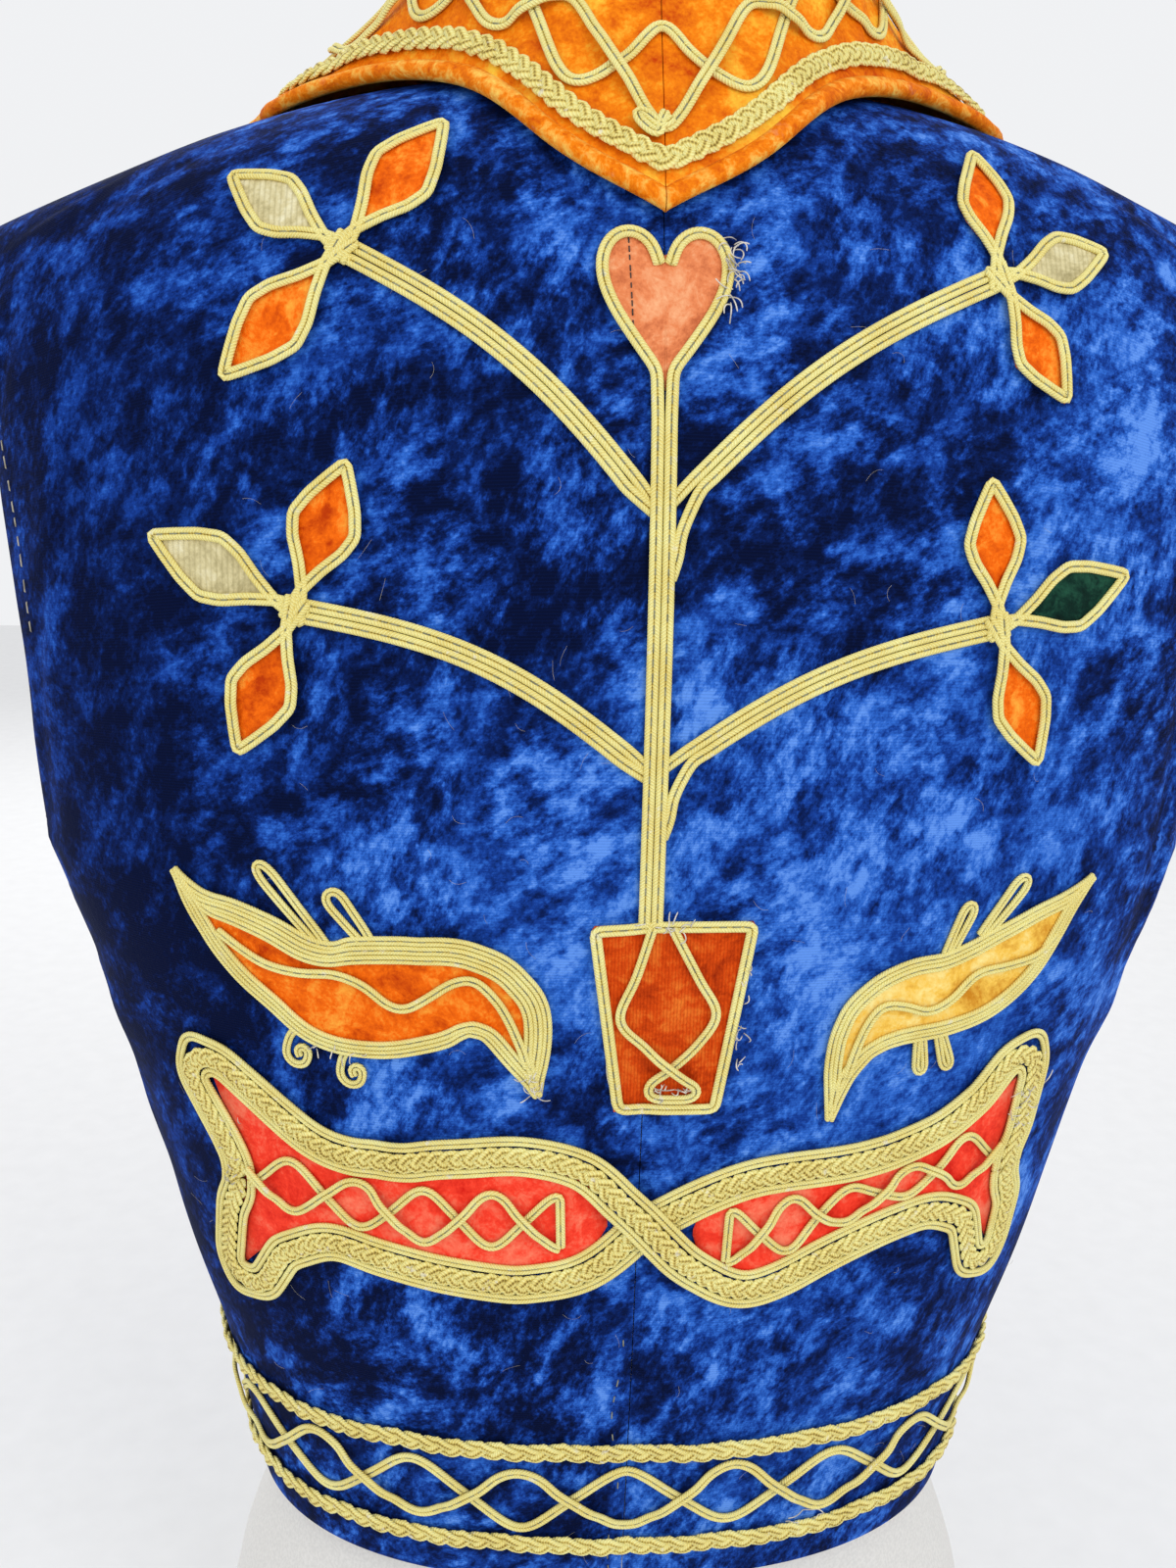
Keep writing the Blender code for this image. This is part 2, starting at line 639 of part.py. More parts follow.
COLLAR_CORD_END = 0.72    # how far along the collar its cord work runs
COLLAR_PLAIT_IN = 11.6    # plait's middle from the collar's edge
COLLAR_CORD_IN = 18.6     # the zigzag's lowest point from the collar's edge
COLLAR_CORD_TIP = 2.0     # the same rises by this at the centre back
COLLAR_CORD_TOP = 0.97    # its highest, as a share of the fall
COLLAR_CORD_HIGH = 36.0   # and its highest from the collar's edge
COLLAR_CORD_PEAK = 15.5   # the same rises by this at the centre back
COLLAR_WAVES = 10         # half waves of each zigzag from centre back to its end
COLLAR_LIFT = 1.2         # the crossings stand this much higher, where the collar bends


def collar_along(shares):
    """Places along the collar at shares of its cord work's length, -1 to 1."""
    dense = np.linspace(0, COLLAR_CORD_END, 121)
    steps = np.linalg.norm(np.diff(collar_face(dense, 0.45), axis=0), axis=1)
    length = np.concatenate([[0.0], np.cumsum(steps)])
    return np.sign(shares) * np.interp(np.abs(shares), length / length[-1], dense)


def make_collar_cords():
    along = collar_along(np.linspace(-1, 1, 51))
    add_collar_strip("collar_plait", along, COLLAR_PLAIT_IN + 0 * along, PLAIT, PLAIT_HEIGHT)
    for name, turn, over in (("collar_cord_under", 0.0, 0), ("collar_cord_over", math.pi, 1)):
        phase = zigzag_phases(-COLLAR_WAVES, COLLAR_WAVES, over)
        along = collar_along(phase / (COLLAR_WAVES * math.pi))
        top = COLLAR_CORD_TOP * fall_lengths(np.abs(along))[:, -1]
        top = np.minimum(top, COLLAR_CORD_HIGH + COLLAR_CORD_PEAK * np.exp(-np.abs(along) / 0.09))
        low = COLLAR_CORD_IN + COLLAR_CORD_TIP * np.exp(-((along / 0.05) ** 2))
        middle, half = (low + top) / 2, (top - low) / 2
        distance = middle + half * zigzag(phase + math.pi / 2 + turn)
        lift = over * COLLAR_LIFT * crossing_lift(phase + math.pi / 2)
        add_collar_strip(name, along, distance, CORD, CORD_HEIGHT, lift=lift)


# ---------------------------------------------------------------- zigzags
CROSSING = 0.40           # phase over which an upper cord stays lifted
CROSSING_END = 0.80       # phase where it is down again


def zigzag(phase):
    """A wave with nearly straight slopes and rounded peaks."""
    return (np.sin(phase) - np.sin(3 * phase) / 16) / (1 + 1 / 16)


def zigzag_phases(first, last, over):
    """Phases between two numbers of half waves, with whole ones at the peaks."""
    steps = (0.0, 0.25, 0.38, 0.62, 0.75) if over else (0.0, 0.25, 0.5, 0.75)
    phases = (np.arange(first, last)[:, None] + np.array(steps)).reshape(-1)
    return np.append(phases, last) * math.pi


def crossing_lift(phase):
    """How far an upper cord is lifted: full at each crossing, none between."""
    off = np.abs((phase + math.pi / 2) % math.pi - math.pi / 2)
    return LIFT * np.clip((CROSSING_END - off) / (CROSSING_END - CROSSING), 0, 1)


# ------------------------------------------------------------------ hem band
HEM_PLAITS = (("hem_plait_lower", 17.0), ("hem_plait_upper", 57.0))
HEM_CORD_RISE = 37.0
HEM_CORD_SWING = 11.8
HEM_HALF_WAVES = 11       # of each cord, from centre back to the front edge
HEM_CORD_END = 4.0        # the band stops this far from the middle of the front


def hem_ring(rise, shares):
    """(around) along the hem at shares of the length, -1 to 1 between the fronts."""
    width = float(read(TORSO, "half_width", rise))
    end = 2 - math.asin((HEM_CORD_END / width) ** (SECTION_POWER / 2)) / (math.pi / 2)
    dense = np.linspace(-end, end, 801)
    points = cloth_point(dense, np.full(dense.shape, rise))
    steps = np.linalg.norm(np.diff(points, axis=0), axis=1)
    length = np.concatenate([[0.0], np.cumsum(steps)])
    return np.interp(np.asarray(shares), 2 * length / length[-1] - 1, dense)


def make_hem_band():
    for name, rise in HEM_PLAITS:
        around = hem_ring(rise, np.linspace(-1, 1, 61))
        add_cloth_strip(name, around, np.full(around.shape, rise), PLAIT, PLAIT_HEIGHT)
    for name, turn, over in (("hem_cord_under", 0.0, 0), ("hem_cord_over", math.pi, 1)):
        phase = zigzag_phases(-HEM_HALF_WAVES, HEM_HALF_WAVES, over)
        around = hem_ring(HEM_CORD_RISE, phase / (HEM_HALF_WAVES * math.pi))
        rise = HEM_CORD_RISE + HEM_CORD_SWING * zigzag(phase + math.pi / 2 + turn)
        lift = over * crossing_lift(phase + math.pi / 2)
        add_cloth_strip(name, around, rise, CORD, CORD_HEIGHT, lift=lift)


# ------------------------------------------------------------ tree of life
STEM = 7.4                # two cords side by side
STEM_FOOT = 251.0
STEM_TOP = 395.0
Branch = namedtuple("Branch", "name side root across height bow")
BRANCHES = (
    Branch("upper_left", 1, 366.0, 88.0, 433.0, 7.0),
    Branch("upper_right", -1, 366.0, 96.0, 430.0, 7.0),
    Branch("lower_left", 1, 292.0, 101.0, 336.0, 9.0),
    Branch("lower_right", -1, 292.0, 98.0, 334.0, 7.0),
)
# Leaves: which way each points (0 straight out sideways, 90 up), length, width.
Leaf = namedtuple("Leaf", "turn length width finish")
SPRIGS = {
    "upper_left": (Leaf(32, 37, 20, "ivory_velvet"), Leaf(128, 43, 22, "orange_velvet"),
                   Leaf(-47, 46, 22, "orange_velvet")),
    "upper_right": (Leaf(14, 36, 19, "ivory_velvet"), Leaf(96, 34, 19, "orange_velvet"),
                    Leaf(-58, 37, 19, "orange_velvet")),
    "lower_left": (Leaf(24, 44, 22, "ivory_velvet"), Leaf(110, 41, 22, "orange_velvet"),
                   Leaf(-67, 43, 22, "orange_velvet")),
    "lower_right": (Leaf(18, 43, 22, "green_velvet"), Leaf(96, 39, 20, "orange_velvet"),
                    Leaf(-68, 42, 20, "orange_velvet")),
}
LEAF_CLEAR = 1.3
LEAF_GAP = 4.5            # from the sprig's middle to each leaf's point
LEAF_SHAPE = ((0.00, 0.0), (0.16, 0.36), (0.34, 0.80), (0.50, 1.0), (0.68, 0.74), (0.86, 0.34),
              (1.00, 0.0))
NAMES = ("outer", "upper", "lower")


def leaf_outline(branch, leaf, scale=1.0):
    """A lozenge with its point by the sprig's middle."""
    turn = math.radians(leaf.turn)
    out = np.array([branch.side * math.cos(turn), math.sin(turn)])
    beside = np.array([-out[1], out[0]])
    middle = np.array([branch.side * branch.across, branch.height])
    half = [(share, width) for share, width in LEAF_SHAPE]
    whole = half + [(share, -width) for share, width in half[-2:0:-1]]
    centre = middle + out * (LEAF_GAP + leaf.length * 0.5)
    found = [
        middle + out * (LEAF_GAP + leaf.length * share) + beside * leaf.width / 2 * width
        for share, width in whole
    ]
    return centre + (np.array(found) - centre) * scale, centre


def make_tree():
    stem = np.stack([np.zeros(13), np.linspace(STEM_FOOT + 1, STEM_TOP, 13)], axis=1)
    add_back_strip("stem", stem, STEM, CORD_HEIGHT, crown=0.8)
    for branch in BRANCHES:
        start = np.array([branch.side * (STEM / 2 + 3.2), branch.root + 3.5])
        stop = np.array([branch.side * branch.across, branch.height])
        line = stop - start
        length = np.linalg.norm(line)
        share = np.linspace(0, 1 - 6.0 / length, 11)
        bend = np.array([-line[1], line[0]]) / length * branch.side
        path = start + line * share[:, None] + bend * (branch.bow * np.sin(share * math.pi))[:, None]
        add_back_strip("branch_" + branch.name, path, STEM, CORD_HEIGHT, crown=0.8)
        for name, leaf in zip(NAMES, SPRIGS[branch.name]):
            rings = [leaf_outline(branch, leaf, scale)[0] for scale in (1.0, 0.84, 0.66)]
            rings.append(leaf_outline(branch, leaf)[1])
            add_ring_patch("leaf_" + branch.name + "_" + name, rings,
                           (1.2, RIM_HEIGHT, PATCH_HEIGHT), leaf.finish, base=LEAF_CLEAR)


HEART_TIP = 396.8
HEART_HEIGHT = 44.0


HEART_SIDE = (            # half the heart: across, and height above its tip
    (0.0, 0.0), (4.4, 5.6), (9.6, 12.4), (15.2, 20.6), (18.6, 28.4), (18.9, 35.6), (16.0, 41.4),
    (11.0, 44.0), (6.0, 43.2), (2.4, 40.4), (0.0, 36.6),
)


def heart_outline(scale):
    """A heart standing on its point, shrunk towards its middle."""
    left = np.array(HEART_SIDE)
    right = left[-2:0:-1] * (-1, 1)
    outline = np.vstack([left, right]) + (0.0, HEART_TIP)
    centre = np.array([0.0, HEART_TIP + HEART_HEIGHT * 0.60])
    return centre + (outline - centre) * scale, centre


def make_heart():
    rings = [heart_outline(scale)[0] for scale in (1.0, 0.89, 0.78)] + [heart_outline(1)[1]]
    add_ring_patch("heart", rings, (1.2, RIM_HEIGHT, PATCH_HEIGHT), "salmon_velvet")


POT_MIDDLE = -7.0
POT_TOP = 248.5
POT_BOTTOM = 185.0
POT_TOP_WIDTH = 50.0
POT_BOTTOM_WIDTH = 33.0


POT_CORD = (              # from the rim, across itself, round a flat loop and back
    (-0.6, 243.0), (3.6, 231.0), (8.2, 217.5), (1.0, 208.5), (-8.0, 201.0), (-15.6, 194.6),
    (-14.6, 191.0), (-8.0, 190.6), (-2.0, 191.2), (-1.6, 195.4), (-8.0, 201.0), (-15.5, 209.0),
    (-20.6, 219.0), (-15.0, 230.0), (-6.6, 243.0),
)


def pot_outline(inset):
    """A tapered pot, with its sides moved in."""
    top, bottom = POT_TOP - inset, POT_BOTTOM + inset
    wide, narrow = POT_TOP_WIDTH / 2 - inset, POT_BOTTOM_WIDTH / 2 - inset
    corners = np.array([(-wide, top), (wide, top), (narrow, bottom), (-narrow, bottom)])
    found = []
    for here, following, steps in zip(corners, np.roll(corners, -1, axis=0), (4, 5, 3, 5)):
        found += [here + (following - here) * step / steps for step in range(steps)]
    return np.array(found) + (POT_MIDDLE, 0.0)


def make_pot():
    rings = [pot_outline(inset) for inset in (0.0, 1.9, 3.8)]
    rings.append(np.array([POT_MIDDLE, (POT_TOP + POT_BOTTOM) / 2]))
    add_ring_patch("pot", rings, (1.2, RIM_HEIGHT, PATCH_HEIGHT), "pot_velvet")
    path = smooth_path(np.array(POT_CORD), 2)
    cross = np.array([-8.0, 201.0])
    first_half = np.arange(len(path)) < 9
    off = np.linalg.norm(path - cross, axis=1)
    lift = np.where(first_half, LIFT * np.clip((10 - off) / 4, 0, 1), 0)
    add_back_strip("pot_cord", path, CORD, CORD_HEIGHT, lift=lift, base=CLEAR + PATCH_HEIGHT + 0.4)


# -------------------------------------------------------------------- birds
Spine = namedtuple("Spine", "along height half_width")
LEFT_BODY = (             # from the tail's point to the beak's
    Spine(0.0, 0.0, 0.8),
    Spine(6.5, -8.5, 4.3),
    Spine(15.5, -15.5, 9.5),
    Spine(25.0, -22.5, 13.0),
    Spine(36.0, -30.0, 14.8),
    Spine(47.0, -35.0, 18.6),
    Spine(59.0, -35.2, 20.0),
    Spine(73.5, -33.2, 18.9),
    Spine(87.0, -31.2, 16.1),
    Spine(96.0, -34.4, 13.8),
    Spine(102.3, -42.0, 11.2),
    Spine(105.8, -53.0, 7.0),
    Spine(109.0, -65.0, 0.8),
)
RIGHT_BODY = (
    Spine(0.0, 0.0, 0.8),
    Spine(7.5, -6.5, 3.8),
    Spine(15.5, -13.5, 8.3),
    Spine(25.5, -22.5, 12.8),
    Spine(36.5, -29.8, 14.6),
    Spine(48.0, -33.6, 14.4),
    Spine(59.5, -35.0, 14.2),
    Spine(67.5, -38.0, 12.9),
    Spine(74.3, -43.6, 10.6),
    Spine(78.7, -51.0, 7.3),
    Spine(81.2, -60.0, 4.6),
    Spine(82.8, -73.5, 1.4),
)
LEFT_WAVE = (             # the wavy cord that runs along each body
    (38.5, -28.5), (49.0, -28.0), (57.5, -31.0), (64.5, -36.5), (70.0, -37.5), (76.5, -33.5),
    (83.5, -28.5), (90.0, -27.5), (96.0, -33.0), (100.0, -39.5),
)
RIGHT_WAVE = (
    (28.0, -26.0), (39.0, -27.5), (46.5, -35.0), (54.0, -38.5), (62.0, -36.0), (69.0, -35.5),
    (73.5, -41.0),
)
Bird = namedtuple("Bird", "name side tail_across tail_height body rim wave loops finish")
Loop = namedtuple("Loop", "name start share length turn width")
LEFT_LOOPS = (            # start: along the bird; share 1 on its back, -1 on its belly
    Loop("crest_1", 32.5, 1, 24.0, 129.0, 2.2),
    Loop("crest_2", 57.5, 1, 14.0, 127.0, 2.6),
    Loop("foot_1", 44.0, -1, 9.0, -100.0, 2.6),
    Loop("foot_2", 53.0, -1, 9.0, -96.0, 2.6),
)
RIGHT_LOOPS = (
    Loop("crest_1", 43.5, 1, 13.5, 112.0, 1.8),
    Loop("crest_2", 26.0, 1, 17.0, 127.0, 2.1),
    Loop("foot_1", 57.5, -1, 10.5, -96.0, 1.5),
    Loop("foot_2", 50.0, -1, 11.0, -108.0, 1.5),
)
BIRDS = (
    Bird("left", 1, 141.0, 256.5, LEFT_BODY, 7.0, LEFT_WAVE, LEFT_LOOPS, "orange_velvet"),
    Bird("right", -1, 141.0, 254.5, RIGHT_BODY, 5.0, RIGHT_WAVE, RIGHT_LOOPS, "yellow_velvet"),
)


def bird_places(bird, along, height):
    """Turns a bird's own sizes into (across, height) on the back."""
    across = bird.side * (bird.tail_across - np.asarray(along))
    return np.stack([across, bird.tail_height + np.asarray(height)], axis=-1)


def bird_section(bird, along, share):
    """A place in the bird's body: share -1 on its belly side to 1 on its back."""
    body = bird.body
    slope = (read(body, "height", along + 1) - read(body, "height", along - 1)) / 2
    turn = np.arctan(slope)
    half = read(body, "half_width", along)
    return (along - np.sin(turn) * half * share,
            read(body, "height", along) + np.cos(turn) * half * share)


def make_bird(bird):
    along = np.array([spine.along for spine in bird.body])
    along[0], along[-1] = 0.3, along[-1] - 0.3
    half = read(bird.body, "half_width", along)
    rim = np.minimum(bird.rim, half * 0.8) / half
    share = np.stack([-1 + 0 * rim, -1 + rim / 2, -1 + rim, 1 - rim, 1 - rim / 2, 1 + 0 * rim], axis=1)
    rows = np.repeat(along[:, None], 6, axis=1)
    places = bird_places(bird, *bird_section(bird, rows, share))
    heights = np.broadcast_to(np.array([1.2, RIM_HEIGHT, PATCH_HEIGHT, PATCH_HEIGHT, RIM_HEIGHT, 1.2]),
                              share.shape)
    add_back_slab("bird_" + bird.name, places, heights, bird.finish)
    wave = smooth_path(np.array(bird.wave), 2)
    path = bird_places(bird, wave[:, 0], wave[:, 1])
    add_back_strip("bird_" + bird.name + "_wave", path, FINE_CORD, CORD_HEIGHT,
                   base=CLEAR + PATCH_HEIGHT + 0.7)
    for loop in bird.loops:
        make_loop(bird, loop)


LOOP_CORD = 2.6
LOOP_SHAPE = ((0.0, -0.8), (0.5, -1.0), (0.85, -0.9), (0.98, -0.4), (0.98, 0.4), (0.85, 0.9),
              (0.5, 1.0), (0.0, 0.8))
LOOP_OFF = 2.4            # from the bird's edge to the loop's open end


def make_loop(bird, loop):
    """A small loop of cord standing off the bird's outline."""
    place = np.array([loop.start])
    root = np.array(bird_section(bird, place, np.array([float(loop.share)])))[:, 0]
    spine = np.array(bird_section(bird, place, np.array([0.0])))[:, 0]
    away = (root - spine) / np.linalg.norm(root - spine)
    turn = math.radians(loop.turn)
    out = np.array([math.cos(turn), math.sin(turn)])
    beside = np.array([-out[1], out[0]])
    # The open end clears the outline on both sides of the loop.
    start = root + away * (LOOP_OFF + loop.width * abs(beside @ away))
    path = np.array([start + out * (loop.length - LOOP_OFF) * far + beside * loop.width * off
                     for far, off in LOOP_SHAPE])
    places = bird_places(bird, path[:, 0], path[:, 1])
    add_back_strip(f"bird_{bird.name}_{loop.name}", places, LOOP_CORD, CORD_HEIGHT)


# ------------------------------------------------------- the crossed fish
Fish = namedtuple("Fish", "along upper lower")
LEFT_EDGES = (            # middle of the border, from the crossing to the tail
    Fish(0.0, 0.0, 0.0),
    Fish(18.0, 18.0, -16.2),
    Fish(36.0, 24.0, -21.3),
    Fish(60.0, 22.4, -20.2),
    Fish(84.0, 19.6, -16.0),
    Fish(100.0, 22.0, -13.2),
    Fish(115.0, 32.0, -21.5),
)
RIGHT_EDGES = (
    Fish(0.0, 0.0, 0.0),
    Fish(18.0, 9.5, -17.5),
    Fish(34.0, 15.4, -25.0),
    Fish(47.0, 17.2, -21.8),
    Fish(60.0, 17.9, -15.6),
    Fish(73.0, 19.0, -10.4),
    Fish(88.0, 22.2, -6.0),
    Fish(102.0, 27.0, -4.6),
    Fish(115.0, 35.5, -10.5),
)
Tip = namedtuple("Tip", "along height first last")
LEFT_TIPS = {             # rounded tips of the tail: middle, and the angles of the turn
    "upper": Tip(136.0, 38.7, 131.0, -17.0),
    "lower": Tip(127.5, -31.2, -131.0, 9.0),
}
RIGHT_TIPS = {
    "upper": Tip(129.0, 41.0, 128.0, -10.0),
    "lower": Tip(125.0, -24.0, -131.0, 4.0),
}
TIP_RADIUS = 7.6
FISH_MIDDLE = -3.0
FISH_HEIGHT = 146.0
TAIL_TIP = {1: 1.0, -1: 0.93}   # length of the left and the right fish
# Notch: where the border's two halves meet in the tail. Turn and end: the field's last rows.
Shape = namedtuple("Shape", "edges tips notch start turn end")
FISHES = {
    1: Shape(LEFT_EDGES, LEFT_TIPS, (129.5, 3.5),
             ((13.5, -0.7), (13.5, -0.1), (13.5, 0.5), (13.5, 1.1)),
             ((121.0, -13.5), (117.5, -5.0), (117.5, 12.0), (120.6, 23.5)),
             ((126.0, -27.0), (120.0, -6.5), (120.4, 14.0), (131.0, 32.5))),
    -1: Shape(RIGHT_EDGES, RIGHT_TIPS, (131.0, 4.5),
              ((16.5, -4.1), (16.5, -3.7), (16.5, -3.3), (16.5, -2.9)),
              ((118.0, 0.8), (119.0, 4.5), (119.0, 14.0), (117.4, 24.0)),
              ((121.6, -1.2), (121.6, 4.0), (121.6, 15.0), (123.6, 31.5))),
}


FIELD_ROWS = (21.0, 26.0, 36.0, 48.0, 60.0, 73.0, 86.0, 98.0, 108.0)
FISH_CORD = (36.0, 112.0) # how far along the inner zigzag runs
FISH_CORD_WAVES = 5


def fish_places(side, along, height):
    """Turns a fish's own sizes into (across, height) on the back."""
    across = FISH_MIDDLE + side * np.asarray(along) * TAIL_TIP[side]
    return np.stack([across, FISH_HEIGHT + np.asarray(height)], axis=-1)


def fish_edge(side, which):
    """Half an edge line, from the crossing round the tail's tip to its notch."""
    sign = 1 if which == "upper" else -1
    along = np.array([0.0, 6.0, 12.0, 18.0, 26.0, 36.0, 48.0, 60.0, 72.0, 84.0, 93.0, 101.0, 108.0,
                      115.0])
    fish = FISHES[side]
    tip = fish.tips[which]
    turn = np.radians(np.linspace(tip.first, tip.last, 6))
    notch = np.array(fish.notch)
    places = np.vstack([
        np.stack([along, read(fish.edges, which, along)], axis=1),
        np.stack([np.cos(turn), np.sin(turn)], axis=1) * TIP_RADIUS + (tip.along, tip.height),
        notch + np.array([(3.2, 13.0 * sign), (0.0, 5.0 * sign), (0.0, 0.5 * sign)]),
    ])
    return fish_places(side, places[:, 0], places[:, 1])


def make_fish():
    inset = BORDER / 2 + 1.5
    share = np.array([0.0, 0.33, 0.67, 1.0])
    for side, name in ((1, "left"), (-1, "right")):
        along = np.repeat(np.array(FIELD_ROWS)[:, None], 4, axis=1)
        fish = FISHES[side]
        high = read(fish.edges, "upper", along) - inset * slant(fish, "upper", along)
        low = read(fish.edges, "lower", along) + inset * slant(fish, "lower", along)
        places = fish_places(side, along, low + (high - low) * share)
        start, turn, end = (fish_places(side, *np.array(row).T)[None]
                            for row in (fish.start, fish.turn, fish.end))
        places = np.vstack([start, places, turn, end])
        add_back_slab("fish_field_" + name, places, np.full(places.shape[:2], PATCH_HEIGHT),
                      "red_velvet")
        for kind, turn, over in (("under", 0.0, 0), ("over", math.pi, 1)):
            phase = zigzag_phases(0, FISH_CORD_WAVES, over)
            along = FISH_CORD[0] + (FISH_CORD[1] - FISH_CORD[0]) * phase / phase[-1]
            upper, lower = read(fish.edges, "upper", along), read(fish.edges, "lower", along)
            half = np.maximum((upper - lower) / 2 - BORDER / 2 - 4.5, 4.4)
            height = (upper + lower) / 2 + half * zigzag(phase + math.pi / 2 + turn)
            lift = over * crossing_lift(phase + math.pi / 2)
            add_back_strip(f"fish_cord_{name}_{kind}", fish_places(side, along, height), FINE_CORD,
                           CORD_HEIGHT, base=CLEAR + PATCH_HEIGHT + 0.4, lift=lift)
    middle = np.array([FISH_MIDDLE, FISH_HEIGHT])
    for name, left, right, over in (("fish_border_under", "lower", "upper", 0),
                                    ("fish_border_over", "upper", "lower", 1)):
        line = np.vstack([fish_edge(1, left)[::-1], fish_edge(-1, right)[1:]])
        off = np.linalg.norm(line - middle, axis=1)
        lift = over * (BORDER_HEIGHT + 0.6) * np.clip((25 - off) / 7, 0, 1)
        add_back_strip(name, line, BORDER, BORDER_HEIGHT, lift=lift, crown=0.86)


def slant(fish, which, along):
    """How much longer a measure up the back is than one square to the border."""
    slope = (read(fish.edges, which, along + 1) - read(fish.edges, which, along - 1)) / 2
    return np.sqrt(1 + slope**2)


# ---------------------------------------------------------------- dress form
Slice = namedtuple("Slice", "height half_width back front power")
FORM = (
    Slice(-140.0, 151.0, 106.0, 106.0, 2.3),
    Slice(-100.0, 152.0, 108.0, 106.0, 2.3),
    Slice(-60.0, 146.0, 104.0, 104.0, 2.3),
    Slice(-25.0, 134.0, 94.0, 97.0, 2.3),
    Slice(0.0, 128.0, 89.0, 94.0, 2.3),
    Slice(60.0, 135.0, 93.0, 98.0, 2.3),
    Slice(120.0, 147.0, 99.0, 105.0, 2.3),
    Slice(180.0, 155.0, 104.0, 112.0, 2.3),
    Slice(250.0, 159.0, 107.0, 116.0, 2.3),
    Slice(320.0, 161.0, 107.0, 115.0, 2.3),
    Slice(370.0, 161.0, 102.0, 109.0, 2.3),
    Slice(405.0, 160.0, 95.0, 99.0, 2.3),
    Slice(432.0, 158.0, 86.0, 90.0, 2.3),
    Slice(449.0, 151.0, 78.0, 82.0, 2.1),
    Slice(462.5, 132.0, 68.0, 72.0, 1.9),
    Slice(472.5, 98.0, 60.0, 64.0, 1.7),
    Slice(476.5, 66.0, 53.0, 56.0, 1.9),
    Slice(487.0, 57.0, 49.0, 51.0, 2.0),
    Slice(505.0, 53.0, 46.0, 47.0, 2.0),
    Slice(540.0, 51.0, 45.0, 45.0, 2.0),
    Slice(549.0, 48.0, 42.0, 42.0, 2.0),
    Slice(553.0, 40.0, 35.0, 35.0, 2.0),
)


def make_form():
    """A smooth torso with a capped neck and a flat base, and no limbs."""
    count = 24
    turn = np.arange(count) * 2 * math.pi / count
    rings = []
    for piece in FORM:
        power = 2 / piece.power
        across = piece.half_width * np.sign(np.sin(turn)) * np.abs(np.sin(turn)) ** power
        depth = np.where(np.cos(turn) > 0, piece.back, piece.front)
        deep = depth * np.sign(np.cos(turn)) * np.abs(np.cos(turn)) ** power
        rings.append(np.stack([across, deep, np.full(count, piece.height)], axis=1))
    faces = []
    for row in range(len(rings) - 1):
        for here in range(count):
            following = (here + 1) % count
            faces.append((row * count + here, row * count + following,
                          (row + 1) * count + following, (row + 1) * count + here))
    faces.append(tuple(range(count)))
    last = (len(rings) - 1) * count
    faces.append(tuple(range(last, last + count)))
    add_object("dress_form", np.vstack(rings), faces, "form_cover")


def main():
    for old in list(bpy.data.objects):
        bpy.data.objects.remove(old, do_unlink=True)
    make_form()
    for side, name, column in ((1, "left", "back_left"), (-1, "right", "back_right")):
        make_back(side, "back_" + name, column)
        make_front(side, name)
        make_collar(side, "collar_" + name)
        make_binding(side, "collar_binding_" + name)
    make_collar_cords()
    make_hem_band()
    make_tree()
    make_heart()
    make_pot()
    for bird in BIRDS:
        make_bird(bird)
    make_fish()


if __name__ == "__main__":
    main()
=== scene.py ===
"""An embroidered folk vest of crushed velvet on a limbless dress form.

Every piece follows one surface, vest_face(around, rise), the creased outer face
of the vest.  Axes: +X is the wearer's left, -Y the front, +Z up.  The shape
functions work in millimetres above the hem, and grid_mesh() turns them into
metres above the floor.
"""
import math
from collections import namedtuple

import bmesh
import bpy
import numpy as np
from bpy.props import FloatProperty, FloatVectorProperty, PointerProperty
from mathutils import Matrix, Vector


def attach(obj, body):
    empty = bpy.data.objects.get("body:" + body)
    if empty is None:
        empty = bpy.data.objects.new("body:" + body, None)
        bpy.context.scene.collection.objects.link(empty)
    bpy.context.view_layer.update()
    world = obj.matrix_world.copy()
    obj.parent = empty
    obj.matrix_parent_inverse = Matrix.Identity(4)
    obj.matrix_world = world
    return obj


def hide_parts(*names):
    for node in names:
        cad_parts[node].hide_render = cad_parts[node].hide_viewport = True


bl_info = {
    "name": "Embroidered Folk Vest",
    "version": (1, 0, 0),
    "blender": (4, 5, 0),
    "location": "3D View > Sidebar > Vest",
    "description": "Velvet panels, shawl collar, cord work and dress form of a folk vest",
    "category": "Object",
}

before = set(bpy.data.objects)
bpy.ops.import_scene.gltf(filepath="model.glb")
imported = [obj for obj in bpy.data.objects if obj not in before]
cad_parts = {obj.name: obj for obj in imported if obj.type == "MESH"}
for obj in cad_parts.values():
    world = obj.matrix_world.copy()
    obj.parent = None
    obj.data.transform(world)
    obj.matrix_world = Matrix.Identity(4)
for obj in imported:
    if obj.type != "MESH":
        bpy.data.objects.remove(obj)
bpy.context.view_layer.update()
BODY = "root"

MM = 0.001
SEED = 7

# ---------------------------------------------------------------- main sizes
HEM_HEIGHT = 140.0        # the hem above the floor
MIDDLE = (1.8, -5.5)      # middle of the whole thing, from the body's axis
SEAM_GAP = 0.3
CUT_EDGE = 0.55           # how far the velvet's cut edges are rounded
ARMHOLE_RISE = 250.0      # hem to the bottom of the armhole
SHOULDER_RISE = 550.0     # hem to the shoulder line, measured up the cloth
CHEST_HEIGHT = 380.0      # above it the cloth faces away from this place on the axis
SECTION_POWER = 2.35      # how square the body's sections are
SHOULDER_POWER = 2.9      # how square the back turns over the shoulder
CORD_BASE = 0.15          # cord work above the velvet
EDGE_CORD = 0.65          # and where it runs along the edge of a patch
PATCH_BASE = 0.8          # top of an applied patch, at its edge
OVER = 1.9                # how far a cord is lifted to cross another
QUARTER = math.pi / 2
